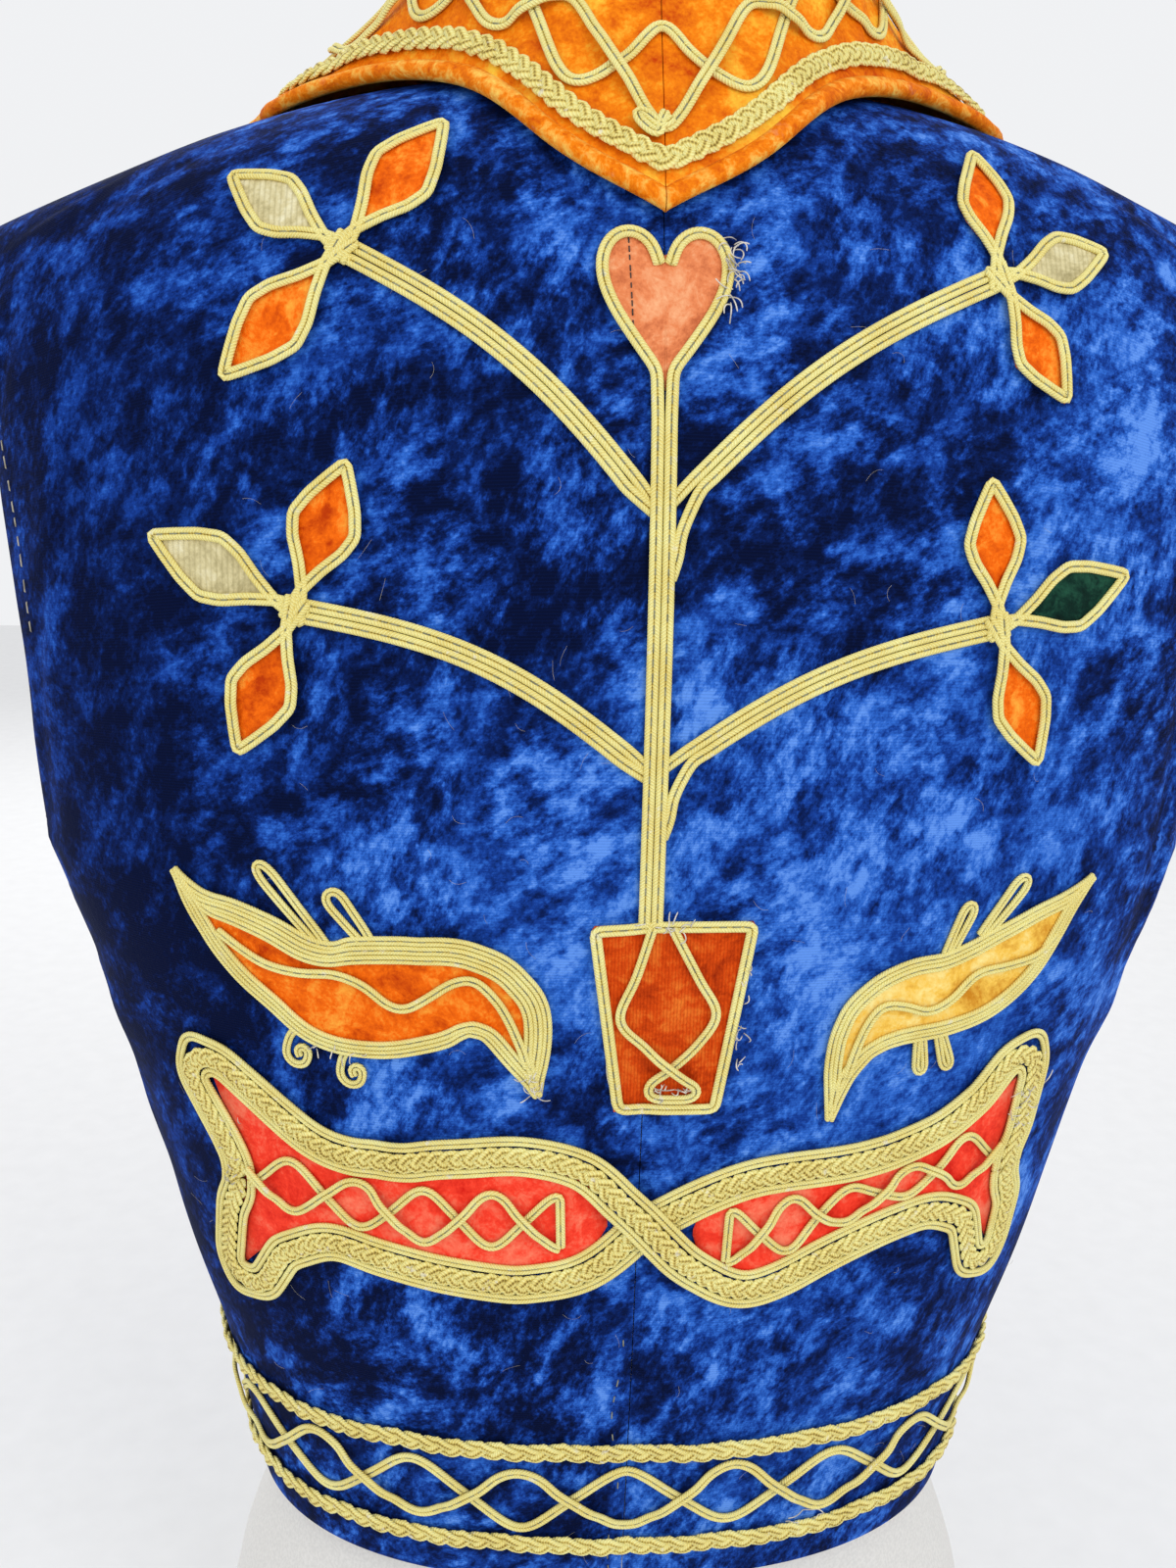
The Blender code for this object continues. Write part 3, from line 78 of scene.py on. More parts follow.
SIDES = ((1, "left"), (-1, "right"))
# The two cords of a zigzag: name, how far its wave is turned, and whether it crosses on top.
ZIGZAGS = (("under", 0.0, 0.0), ("over", math.pi, 1.0))


def each(kind, *rows):
    """A table of one kind, made from its rows of values."""
    return tuple(kind(*row) for row in rows)


# ------------------------------------------------- the body inside the cloth
Section = namedtuple("Section", "rise half_width back_depth front_depth")
TORSO = each(
    Section, (0, 135, 96, 101), (55, 145, 102, 106), (100, 158, 107, 111), (155, 171, 110, 117),
    (195, 181, 113, 121), (250, 199, 116, 125), (350, 211, 116, 124), (450, 217, 114, 119),
    (550, 220, 110, 112),
)
Ridge = namedtuple("Ridge", "across height set_back")
SHOULDER_LINE = each(
    Ridge, (0, 494, 5), (35, 492, 5), (70, 488, 3), (100, 482, 1), (130, 473.5, -1), (165, 460.5, -3),
    (200, 447, -5), (240, 431, -7),
)

# Soft folds: a ripple with its middle at (around, rise), longest along `lean`.
Fold = namedtuple("Fold", "around rise reach width lean depth")
FOLDS = each(
    Fold, (1.16, 222, 0.2, 9, 60, 5), (1.12, 198, 0.16, 8, 75, -4), (1.22, 172, 0.22, 11, 50, 4),
    (1.1, 140, 0.18, 12, 40, -3), (0.8, 190, 0.12, 13, -70, 2),
)

# Creases: a soft trough or ridge on the cloth.  place: 0 centre back, 1 side
# seam, 2 centre front, negative on the wearer's right.  lean is in degrees from
# level, and length and width are in millimetres.
Crease = namedtuple("Crease", "place rise lean length width depth")
CREASES = each(
    Crease,
    # drag lines from the neck to the left shoulder and armhole
    (0.46, 500, -22, 46, 5, -0.9), (0.52, 486, -28, 52, 6, 0.8), (0.44, 470, -18, 40, 5, -0.7),
    (0.66, 430, -52, 46, 8, 1.2), (0.7, 400, -64, 50, 7, -1.1), (0.62, 330, -70, 60, 11, 1),
    (0.7, 285, -50, 34, 6, -1.1), (0.78, 262, -38, 30, 6, 1.1),
    # left side below the armhole
    (0.93, 232, 28, 22, 4.5, 1.8), (0.99, 216, 12, 22, 4, -1.8), (1.03, 236, -24, 20, 4, 1.6),
    (0.92, 196, -16, 26, 5, 1.2), (0.98, 176, 20, 24, 5, -1.2), (0.84, 150, -64, 36, 7, 0.9),
    # the lower back, between bird and fish and round the pot
    (0.34, 172, 14, 26, 5, 0.8), (0.27, 166, -66, 15, 3.5, -0.8), (0.22, 170, -58, 15, 3.5, 0.7),
    (-0.22, 190, 62, 22, 5, 0.7), (0.1, 110, 80, 22, 5, 0.6), (-0.14, 92, 78, 20, 5, -0.7),
    # right back: level drag lines above, upright ripples by the side
    (-0.42, 478, 24, 46, 6, -0.8), (-0.52, 452, 34, 44, 7, 0.9), (-0.6, 372, 82, 56, 7, -1.1),
    (-0.66, 330, 84, 60, 6, 1.2), (-0.62, 270, 78, 50, 6, -1.2), (-0.72, 226, 72, 46, 6, 1.4),
    (-0.8, 190, 66, 40, 6, -1.3), (-0.93, 214, -20, 22, 4.5, 1.5), (-1.01, 232, 18, 22, 4, -1.6),
    (-0.97, 180, 10, 26, 5, 1.2),
    # fronts: drag from the shoulder to the side, and soft hang lines
    (1.62, 420, 60, 60, 9, 1.2), (1.54, 350, 66, 60, 9, -1.2), (1.44, 270, 40, 44, 7, 1.3),
    (1.7, 200, 82, 60, 11, 1.4), (1.84, 160, 86, 60, 10, -1), (1.36, 150, 74, 50, 9, -1.3),
    (1.4, 480, 12, 24, 5, 1.6), (1.36, 515, -14, 22, 5, -1.4), (-1.6, 430, -62, 60, 9, -1.2),
    (-1.52, 340, -70, 60, 9, 1.3), (-1.42, 262, -36, 44, 7, -1.2), (-1.72, 210, -84, 64, 11, -1.3),
    (-1.86, 150, -86, 56, 10, 1), (-1.38, 140, -72, 50, 9, 1.3), (-1.42, 490, 10, 24, 5, -1.4),
)
AROUND_LENGTH = 285.0     # millimetres along the cloth from centre back to side
SEAM_DIP = 0.7            # the cloth dips this much into a seam
SEAM_DIP_WIDTH = 2.2
HEM_FOLD = 8.0            # depth of the turned hem
HEM_DIP = 0.35            # the cloth dips this much along the turned hem
HEM_DIP_WIDTH = 1.6
HEM_PLAITS = (("hem_plait_lower", 17.0), ("hem_plait_upper", 57.0))
PUCKER = (0.28, 5.2)      # height and length of the puckers along sewn cords
PUCKER_REACH = 7.0        # how far above and below a hem plait its puckers reach

# Armhole edge as a share of the way from centre back (0) to side seam (1), and
# from centre front to side seam on the front.
Edge = namedtuple("Edge", "rise back_left back_right front")
ARMHOLE = each(
    Edge, (250, 1, 1, 1), (251.5, 0.92, 0.88, 0.9), (256, 0.85, 0.77, 0.8), (266, 0.795, 0.68, 0.72),
    (282, 0.765, 0.625, 0.67), (305, 0.765, 0.62, 0.64), (340, 0.78, 0.655, 0.63),
    (385, 0.79, 0.7, 0.64), (430, 0.785, 0.725, 0.665), (475, 0.765, 0.73, 0.69),
    (515, 0.745, 0.725, 0.705), (550, 0.725, 0.72, 0.715),
)
NECK_HALF_WIDTH = 66.0    # of the neckline at the shoulder line
NAPE_RISE = 492.0         # back of the neckline
FRONT_BREAK = 232.0       # where the front edges part into the collar
FRONT_GAP = 3.0           # between the two fronts


# ------------------------------------------------------------- curve reading
def read(table, name, at):
    """A smooth curve through one column of a table, read at one or more places."""
    places = np.array([row[0] for row in table])
    values = np.array([getattr(row, name) for row in table])
    slopes = np.gradient(values, places)
    at = np.clip(np.asarray(at, float), places[0], places[-1])
    low = np.clip(np.searchsorted(places, at, side="right") - 1, 0, len(places) - 2)
    span = places[low + 1] - places[low]
    t = (at - places[low]) / span
    return (
        (2 * t**3 - 3 * t**2 + 1) * values[low]
        + (t**3 - 2 * t**2 + t) * span * slopes[low]
        + (3 * t**2 - 2 * t**3) * values[low + 1]
        + (t**3 - t**2) * span * slopes[low + 1]
    )


def smooth_path(points, steps):
    """A smooth curve through points, with `steps` pieces between each two."""
    points = np.asarray(points, float)
    ends = np.concatenate(
        [2 * points[:1] - points[1:2], points, 2 * points[-1:] - points[-2:-1]]
    )
    found = [
        0.5 * (2 * start + (stop - before) * t + (2 * before - 5 * start + 4 * stop - after) * t**2
               + (3 * start - before - 3 * stop + after) * t**3)
        for before, start, stop, after in zip(ends, ends[1:], ends[2:], ends[3:])
        for t in np.arange(steps) / steps
    ]
    return np.array(found + [points[-1]])


def lengths_of(points):
    """Length along a line of points, at each of them."""
    steps = np.linalg.norm(np.diff(points, axis=0), axis=1)
    return np.concatenate([[0.0], np.cumsum(steps)])


def read_line(points, lengths, at):
    """Places on a line, `at` lengths along it."""
    return np.stack([np.interp(at, lengths, column) for column in points.T], axis=1)


def evenly(points, step, rounding=0):
    """Points at equal steps along a line, with its corners eased."""
    points = np.asarray(points, float)
    lengths = lengths_of(points)
    count = max(int(round(lengths[-1] / step)), 3)
    found = read_line(points, lengths, np.linspace(0, lengths[-1], count + 1))
    for _ in range(rounding):
        found[1:-1] = (found[:-2] + 2 * found[1:-1] + found[2:]) / 4
    return found


def unit(vectors):
    return vectors / np.maximum(np.linalg.norm(vectors, axis=-1, keepdims=True), 1e-9)


def left_of(ways):
    """Flat directions turned a quarter to the left."""
    return np.stack([-ways[..., 1], ways[..., 0]], axis=-1)


def bump(distance, width):
    return np.exp(-((distance / width) ** 2))


def matched(first, second):
    """Two arrays brought to one shape."""
    return np.broadcast_arrays(np.asarray(first, float), np.asarray(second, float))


def leaning(over, up, lean):
    """Distances from a middle, measured along and off a line that leans by `lean` degrees."""
    turn = math.radians(lean)
    return over * math.cos(turn) + up * math.sin(turn), up * math.cos(turn) - over * math.sin(turn)


def folded(around, rise):
    """Side, share round and rise, with what runs past the shoulder line turned down again."""
    side = np.where(around < 0, -1.0, 1.0)
    share = np.where(rise > SHOULDER_RISE, 2 - np.abs(around), np.abs(around))
    return side, share, np.minimum(rise, 2 * SHOULDER_RISE - rise)


def share_round(across, rise):
    """How far round the body a place is: 0 on the centre line to 1 at the side seam."""
    width = read(TORSO, "half_width", rise)
    return np.arcsin(np.clip(across / width, 0, 1) ** (SECTION_POWER / 2)) / QUARTER


# --------------------------------------------------------- the cloth surface
def fold_depth(around, rise):
    """How far the folds push the cloth out."""
    depth = np.zeros(np.broadcast(around, rise).shape)
    for fold in FOLDS:
        along = (np.abs(around) - fold.around) / fold.reach
        off = (rise - fold.rise - fold.lean * (np.abs(around) - fold.around)) / fold.width
        depth = depth + fold.depth * np.exp(-(along**2) - off**2)
    return depth


def cloth_point(around, rise):
    """The vest's plain face.  around: 0 centre back, 1 side seam, 2 centre front,
    negative on the wearer's right.  rise: 0 at the hem, SHOULDER_RISE on the
    shoulder line, and beyond it down the front again."""
    side, share, rise = folded(*matched(around, rise))
    angle = share * QUARTER
    back = share <= 1
    depth = np.where(back, read(TORSO, "back_depth", rise), -read(TORSO, "front_depth", rise))
    bulge = fold_depth(share, rise)
    power = 2 / SECTION_POWER
    across = (read(TORSO, "half_width", rise) + bulge) * np.abs(np.sin(angle)) ** power
    middle = (depth + np.sign(depth) * bulge) * np.abs(np.cos(angle)) ** power
    turn = np.clip((rise - ARMHOLE_RISE) / (SHOULDER_RISE - ARMHOLE_RISE), 0, 1) * QUARTER
    top = read(SHOULDER_LINE, "height", across)
    top_depth = read(SHOULDER_LINE, "set_back", across)
    upper = rise > ARMHOLE_RISE
    deep = top_depth + (middle - top_depth) * np.abs(np.cos(turn)) ** (2 / SHOULDER_POWER)
    high = ARMHOLE_RISE + (top - ARMHOLE_RISE) * np.sin(turn) ** (2 / SHOULDER_POWER)
    return np.stack(
        [side * across, np.where(upper, deep, middle), np.where(upper, high, rise)], axis=-1
    )


def cloth_normal(around, rise):
    """Unit vectors out of the cloth."""
    around, rise = matched(around, rise)
    step_around, step_rise = 0.004, 1.0
    low = np.maximum(rise - step_rise, 0.0)
    sideways = cloth_point(around + step_around, rise) - cloth_point(around - step_around, rise)
    # The sign of `around` says which side a point is on, so nothing steps over zero.
    near_middle = np.abs(around) < step_around
    sideways = np.where(near_middle[..., None], np.array([1.0, 0.0, 0.0]), sideways)
    upward = cloth_point(around, rise + step_rise) - cloth_point(around, low)
    out = np.cross(sideways, upward)
    here = cloth_point(around, rise)
    centre = np.stack([0 * rise, 0 * rise, np.minimum(here[..., 2], CHEST_HEIGHT)], -1)
    outward = np.sum(out * (here - centre), axis=-1, keepdims=True)
    out = np.where(outward < 0, -out, out)
    return unit(out)


def crease_depth(around, rise):
    """How far the creases, seams, hem and puckers move the cloth out."""
    side, share, height = folded(*matched(around, rise))
    place = side * share
    depth = np.zeros(place.shape)
    for crease in CREASES:
        over = (place - crease.place) * AROUND_LENGTH
        along, off = leaning(over, height - crease.rise, crease.lean)
        # The line of a crease wanders a little along its length.
        off = off + 0.05 * crease.length * np.sin(along / crease.length * 2.4)
        depth = depth + crease.depth * bump(along, crease.length) * bump(off, crease.width)
    for seam in (0.0, 1.0):
        depth = depth - SEAM_DIP * bump((np.abs(place) - seam) * AROUND_LENGTH, SEAM_DIP_WIDTH)
    depth = depth - SEAM_DIP * bump(height - SHOULDER_RISE, SEAM_DIP_WIDTH)
    depth = depth - HEM_DIP * bump(height - HEM_FOLD, HEM_DIP_WIDTH)
    run = place * AROUND_LENGTH
    band = sum(bump(height - rise, PUCKER_REACH) for _, rise in HEM_PLAITS)
    depth = depth + PUCKER[0] * band * np.sin(run / PUCKER[1] + 1.7 * np.sin(run / 31.0))
    return depth


def vest_face(around, rise, out=0.0):
    """Places on the creased vest, `out` millimetres off its face."""
    off = crease_depth(around, rise) + out
    return cloth_point(around, rise) + cloth_normal(around, rise) * np.asarray(off)[..., None]


def spot(across, height):
    """(around, rise) of a place on the back, given across and height."""
    across, height = matched(across, height)
    top = read(SHOULDER_LINE, "height", np.abs(across))
    share = np.clip((height - ARMHOLE_RISE) / (top - ARMHOLE_RISE), 0, 1)
    turn = np.arcsin(share ** (SHOULDER_POWER / 2)) / QUARTER
    rise = np.where(
        height > ARMHOLE_RISE, ARMHOLE_RISE + (SHOULDER_RISE - ARMHOLE_RISE) * turn, height
    )
    around = share_round(np.abs(across), rise)
    return np.where(across < 0, -around, around), rise


# ------------------------------------------------------------- mesh making
def grid_mesh(points, marks, out=None, weld=False, finish=0):
    """A sheet of quads laid over a grid of points (rows, columns, 3) in
    millimetres, with `marks` as its UV map.  `out` gives the way it faces."""
    rows, columns = points.shape[0] - 1, points.shape[1] - 1
    form = bmesh.new()
    form.loops.layers.uv.new("cloth")
    bmesh.ops.create_grid(form, x_segments=columns, y_segments=rows, size=0.5, calc_uvs=True)
    places = (points.reshape(-1, 3) + (-MIDDLE[0], -MIDDLE[1], HEM_HEIGHT)) * MM
    for vert, place in zip(form.verts, places):
        vert.co = place
    for face in form.faces:
        face.smooth = True
        face.material_index = finish
    mesh = bpy.data.meshes.new("sheet")
    form.to_mesh(mesh)
    uv = np.empty(len(mesh.loops) * 2, np.float32)
    mesh.uv_layers["cloth"].data.foreach_get("uv", uv)
    column, row = np.rint(uv.reshape(-1, 2) * (columns, rows)).astype(int).T
    mesh.uv_layers["cloth"].data.foreach_set("uv", marks[row, column].astype(np.float32).ravel())
    form.clear()
    form.from_mesh(mesh)
    if weld:
        bmesh.ops.remove_doubles(form, verts=form.verts, dist=1e-6)
        bmesh.ops.delete(form, geom=[e for e in form.edges if not e.link_faces], context="EDGES")
        bmesh.ops.recalc_face_normals(form, faces=form.faces)
    elif out is not None:
        form.normal_update()
        form.faces.ensure_lookup_table()
        middle = form.faces[len(form.faces) // 2]
        wanted = Vector(out[out.shape[0] // 2, out.shape[1] // 2])
        if middle.normal.dot(wanted) < 0:
            bmesh.ops.reverse_faces(form, faces=form.faces)
    form.to_mesh(mesh)
    form.free()
    return mesh


def new_object(name, data):
    """An object in the scene, at the origin."""
    made = bpy.data.objects.new(name, data)
    bpy.context.scene.collection.objects.link(made)
    return made


def make_piece(name, meshes, materials, slot, *replaced):
    """One object from meshes, riding on the body and standing for CAD nodes."""
    form = bmesh.new()
    for mesh in meshes:
        form.from_mesh(mesh)
        bpy.data.meshes.remove(mesh)
    made = bpy.data.meshes.new(name)
    form.to_mesh(made)
    form.free()
    for finish in materials:
        made.materials.append(finish)
    piece = new_object(name, made)
    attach(piece, BODY)
    if replaced:
        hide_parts(*replaced)
    return piece


def thicken(piece, thickness, rounding=0.0):
    """Gives a sheet its thickness, inwards, and eases its cut edges."""
    wall = piece.modifiers.new("thickness", "SOLIDIFY")
    wall.thickness = thickness * MM
    wall.offset = -1.0
    wall.use_even_offset = True
    wall.thickness_clamp = 0.8
    if rounding:
        edge = piece.modifiers.new("turned edge", "BEVEL")
        edge.width = rounding * MM
        edge.segments = 2
        edge.limit_method = "ANGLE"
        edge.angle_limit = math.radians(60)


def marks_of(across, upward):
    """A UV map from its columns' and its rows' places."""
    return np.stack(np.broadcast_arrays(across[None, :], upward[:, None]), axis=-1)


def cloth_marks(points):
    """A UV map in millimetres along the cloth."""
    across = np.linalg.norm(np.diff(points, axis=1), axis=-1).mean(axis=0)
    upward = np.linalg.norm(np.diff(points, axis=0), axis=-1).mean(axis=1)
    return marks_of(np.concatenate([[0.0], np.cumsum(across)]),
                    np.concatenate([[0.0], np.cumsum(upward)]))


def laid_mesh(places, top, weld=False):
    """Cloth over a grid of (across, height) places on the back, its face at `top`."""
    around, rise = spot(places[..., 0], places[..., 1])
    points = vest_face(around, rise, np.broadcast_to(top, rise.shape))
    return grid_mesh(points, places, weld=weld)


def sheet_area(points):
    """Area of a grid of points, in square metres."""
    one = np.cross(points[1:, 1:] - points[:-1, :-1], points[1:, :-1] - points[:-1, 1:])
    return float(np.linalg.norm(one, axis=-1).sum() / 2 * MM * MM)


# --------------------------------------------------------------- cord making
Route = namedtuple("Route", "feet outs")     # points under a cord, and its way up
CORD_STEP = 1.3
GROOVE = 0.52             # a cord's groove, as a share of its height
STRAND_HEIGHT = 0.56      # a plait's strands, as a share of its height
STRAND_RISE = 0.24        # how far they rise over each other, as a share of it
STRAND_TILT = 0.225
CORD_MARK = 0             # material places on a cord piece
THREAD_MARK = 1


def size_of(name):
    """One of the panel's sizes, in millimetres."""
    return getattr(bpy.context.scene.vest_sizes, name) / MM


def on_vest(around, rise, out=CORD_BASE):
    return Route(vest_face(around, rise, out), cloth_normal(around, rise))


def on_back(places, out=CORD_BASE):
    """A route over (across, height) places on the back."""
    around, rise = spot(places[:, 0], places[:, 1])
    return on_vest(around, rise, out)


def sides_of(route):
    """Unit vectors along and across a route."""
    ahead = unit(np.gradient(route.feet, axis=0))
    return ahead, unit(np.cross(ahead, route.outs))


def moved(route, across, up):
    """A route's feet moved sideways on the cloth and off it."""
    return route.feet + sides_of(route)[1] * across[:, None] + route.outs * up[:, None]


def ring(turns, radius, height):
    """Corners of a round that stands on the line, at turns in degrees."""
    turns = np.radians(turns)
    return np.stack([np.cos(turns) * radius, (1 + np.sin(turns)) * height / 2], axis=1)


def round_section(width, height):
    """Corners of a round cord's section, from the middle of its foot round to it again."""
    foot = [(0.0, 0.0)]
    return np.vstack([foot, ring((230, 190, 145, 90, 35, -10, -50), width / 2, height), foot])


def ribbed_section(width, height):
    """The same for a flat cord of two cores with a groove between them."""
    foot = [(0.0, 0.0)]
    left = ring((218, 165, 112, 60), width / 4, height) - (width / 4, 0.0)
    return np.vstack([foot, left, [(0.0, height * GROOVE)], left[::-1] * (-1, 1), foot])


def carried(feet, sideways, outs, across, up):
    """A grid of points: each foot with its own row of places across and up."""
    return (feet[:, None] + sideways[:, None] * across[..., None]
            + outs[:, None] * up[..., None])


def swept_mesh(route, section, finish=CORD_MARK):
    """A closed cord: `section` carried along a route, with rounded ends."""
    ahead, sideways = sides_of(route)
    rows = np.concatenate([[0, 0], np.arange(len(route.feet)), [-1, -1]])
    size = np.concatenate([[0.0, 0.75], np.ones(len(route.feet)), [0.75, 0.0]])
    nudge = np.zeros(len(rows))
    nudge[:2], nudge[-2:] = (-0.5, -0.4), (0.4, 0.5)
    feet = route.feet[rows] + ahead[rows] * nudge[:, None]
    outs, sideways = route.outs[rows], sideways[rows]
    lift = section[:, 1].max() / 2 * (1 - size)
    feet = feet + outs * lift[:, None]
    points = carried(feet, sideways, outs, section[:, 0] * size[:, None],
                     section[:, 1] * size[:, None])
    marks = marks_of(np.linspace(0, 1, len(section)), lengths_of(feet))
    return grid_mesh(points, marks, weld=True, finish=finish)


STITCH_CORNERS = 5
STITCH_RADIUS = 0.42


def stitches(route, pitch, length, radius, random, height=0.0, skip=0.08):
    """Running stitches that lie along a route."""
    total = lengths_of(route.feet)
    count = int(total[-1] / pitch)
    starts = [(number + 0.35 * random.random()) * pitch
              for number in range(count) if random.random() > skip]
    if not starts:
        return []
    steps, sizes = [], []
    for start in starts:
        long = length * (0.8 + 0.35 * random.random())
        steps += [start, start + 0.12 * long, start + 0.88 * long, start + long]
        sizes += [0.0, 1.0, 1.0, 0.0]
    steps, sizes = np.minimum(np.array(steps), total[-1]), np.array(sizes)
    feet, outs = (read_line(line, total, steps) for line in route)
    outs = unit(outs)
    near = np.clip(np.searchsorted(total, steps), 1, len(total) - 1)
    sideways = sides_of(route)[1][near]
    turn = np.linspace(0, 2 * math.pi, STITCH_CORNERS + 1)
    sizes = sizes * radius
    # Each stitch's ends go a little way into the cloth.
    middle = feet + outs * (height + sizes * 0.3 - 0.25 * (sizes == 0))[:, None]
    points = carried(middle, sideways, outs, np.cos(turn) * sizes[:, None],
                     np.sin(turn) * sizes[:, None])
    return [grid_mesh(points, marks_of(turn, steps), weld=True, finish=THREAD_MARK)]


def plait(route, width, height, period, strand):
    """Three ribbed strands plaited flat."""
    length = lengths_of(route.feet)
    _, sideways = sides_of(route)
    swing = (width - strand) / 2
    section = round_section(strand, height * STRAND_HEIGHT)
    found = []
    for number in range(3):
        turn = 2 * math.pi * (length / period + number / 3)
        # A strand rises over the one that it meets on its way out, and dips under the next.
        up = height * STRAND_RISE * (1 + np.sin(2 * turn))
        feet = moved(route, swing * np.sin(turn), up)
        tilt = -STRAND_TILT * np.cos(2 * turn) * np.sign(np.cos(turn))
        found.append(swept_mesh(Route(feet, unit(route.outs + sideways * tilt[:, None])), section))
    return found


# Stitches along a cord; share says how high up it they lie.
Sewing = namedtuple("Sewing", "pitch length radius share")


class CordWork:
    """Gathers the cords of one piece, with the stitches that hold them."""

    def __init__(self, name, *replaced):
        self.name = name
        self.replaced = replaced
        self.meshes = []
        self.random = np.random.RandomState(SEED + sum(map(ord, name)))

    def ribbon(self, route, width, height, sewing):
        """A soutache with its line of stitches."""
        self.meshes.append(swept_mesh(route, ribbed_section(width, height)))
        self.sewing(route, *sewing[:3], height=height * sewing.share)

    def cord(self, route, fine=False):
        """A soutache of the panel's own sizes."""
        sewing = Sewing(size_of("stitch_pitch"), size_of("stitch_length"), STITCH_RADIUS, 0.5)
        self.ribbon(route, size_of("fine_cord_width" if fine else "cord_width"),
                    size_of("cord_height"), sewing)

    def plait(self, route, width, height, period, strand):
        self.meshes += plait(route, width, height, period, strand)

    def sewing(self, route, pitch, length, radius, **more):
        self.meshes += stitches(route, pitch, length, radius, self.random, **more)

    def finish(self, thread="cord_thread"):
        return make_piece(self.name, self.meshes, (gold_cord(), sewing_thread(thread)),
                          "gold_cord", *self.replaced)


CROSSING = 0.40           # phase over which an upper cord stays lifted
CROSSING_END = 0.95       # phase where it is down again


def zigzag(phase):
    """A wave with nearly straight slopes and rounded peaks."""
    return (np.sin(phase) - np.sin(3 * phase) / 16) / (1 + 1 / 16)


def crossing_lift(phase):
    """How far an upper cord is lifted: full at each crossing, none between."""
    off = np.abs((phase + QUARTER) % math.pi - QUARTER)
    share = np.clip((CROSSING_END - off) / (CROSSING_END - CROSSING), 0, 1)
    return OVER * share * share * (3 - 2 * share)


# --------------------------------------------------------------- velvet trim
PATCH_RINGS = 7
PATCH_CLOTH = 0.6


def patch_mesh(outline, centre, dome=0.35):
    """A patch of cloth inside an outline of (across, height) places on the back."""
    outline = np.vstack([outline, outline[:1]])
    share = np.linspace(0, 1, PATCH_RINGS + 1)
    places = np.asarray(centre) + (outline - centre)[None] * share[:, None, None]
    return laid_mesh(places, (PATCH_BASE + dome * (1 - share**2))[:, None], weld=True)


def make_patch(name, mesh, velvet, node):
    """A thin patch of velvet, with its faces turned outwards."""
    piece = make_piece(name, [mesh], (velvet_for(velvet),), velvet, node)
    face_back(piece)
    thicken(piece, PATCH_CLOTH)
    places = map_of(piece)
    # The cut is measured along the patch's own length.
    centred = places - places.mean(axis=0)
    along = np.linalg.svd(centred, full_matrices=False)[2]
    long, wide = np.ptp(centred @ along.T, axis=0) * MM
    return piece


def map_of(piece):
    """A piece's UV map, loop by loop."""
    return np.array([loop.uv[:] for loop in piece.data.uv_layers["cloth"].data])


def face_back(piece):
    """Turns a patch on the back so that its faces look outwards."""
    form = bmesh.new()
    form.from_mesh(piece.data)
    form.normal_update()
    outward = sum(face.normal.y * face.calc_area() for face in form.faces)
    if outward < 0:
        bmesh.ops.reverse_faces(form, faces=form.faces)
    form.to_mesh(piece.data)
    form.free()


# ------------------------------------------------------------------- panels
# Rows of the panels up to the armhole and round its foot.
LOW_ROWS = np.concatenate([np.linspace(0, ARMHOLE_RISE, 72)[:-1],
                           ARMHOLE_RISE + 34.0 * np.linspace(0, 1, 18) ** 1.8])


def back_net(side, column):
    """(around, rise) over one back, from the centre-back seam to its side."""
    turn = np.radians(np.linspace(0, 90, 22))
    above = SHOULDER_RISE - (SHOULDER_RISE - NAPE_RISE) * np.cos(turn)
    rises = np.concatenate([LOW_ROWS, np.linspace(288, 462, 50), np.linspace(466, 489, 6), above])
    starts = np.zeros(len(rises))
    neck = spot(NECK_HALF_WIDTH, read(SHOULDER_LINE, "height", NECK_HALF_WIDTH))[0]
    starts[-len(above):] = neck * np.sin(turn)
    ends = np.where(rises < ARMHOLE_RISE, 1.0, read(ARMHOLE, column, rises))
    share = np.linspace(0, 1, 80)
    around = starts[:, None] + (ends - starts)[:, None] * share
    return np.maximum(around, 1e-6) * side, np.repeat(rises[:, None], len(share), axis=1)


def front_edge(rises):
    """Across of the front edge: straight down the middle, then out to the neck."""
    path = np.clip((rises - FRONT_BREAK) / (SHOULDER_RISE - FRONT_BREAK), 0, 1)
    return FRONT_GAP / 2 + (NECK_HALF_WIDTH - FRONT_GAP / 2) * path**1.15


def front_net(side, first=0.0, inner=0.0):
    """(around, rise) over one front, from `first` up and `inner` outwards."""
    rises = np.concatenate([LOW_ROWS, np.linspace(288, SHOULDER_RISE, 74)])
    rises = rises[rises >= first]
    ends = np.where(rises < ARMHOLE_RISE, 1.0, read(ARMHOLE, "front", rises))
    starts = share_round(front_edge(rises), rises)
    starts = starts + (ends - starts) * inner
    share = np.linspace(0, 1, 80 if inner == 0 else 34)
    around = (2 - (starts[:, None] + (ends - starts)[:, None] * share)) * side
    return around, np.repeat(rises[:, None], len(share), axis=1)


def part_seams(points, rise, way):
    """Leaves half a seam's gap at a panel's side and at its shoulder."""
    points[rise[:, 0] <= ARMHOLE_RISE, -1, 1] = SEAM_GAP / 2 * way
    points[-1, :, 1] += SEAM_GAP / 2 * way


def make_panel(name, net, side, back):
    """One velvet panel on its net of (around, rise) places."""
    around, rise = net
    points = vest_face(around, rise)
    if back:
        points[rise[:, 0] <= NAPE_RISE, 0, 0] = side * SEAM_GAP / 2
    part_seams(points, rise, 1 if back else -1)
    mesh = grid_mesh(points, cloth_marks(points), out=cloth_normal(around, rise))
    piece = make_piece(name + "_panel", [mesh], (blue_velvet(),), "blue_velvet", name)
    thicken(piece, size_of("velvet_thickness"), rounding=CUT_EDGE)
    return piece, sheet_area(points)


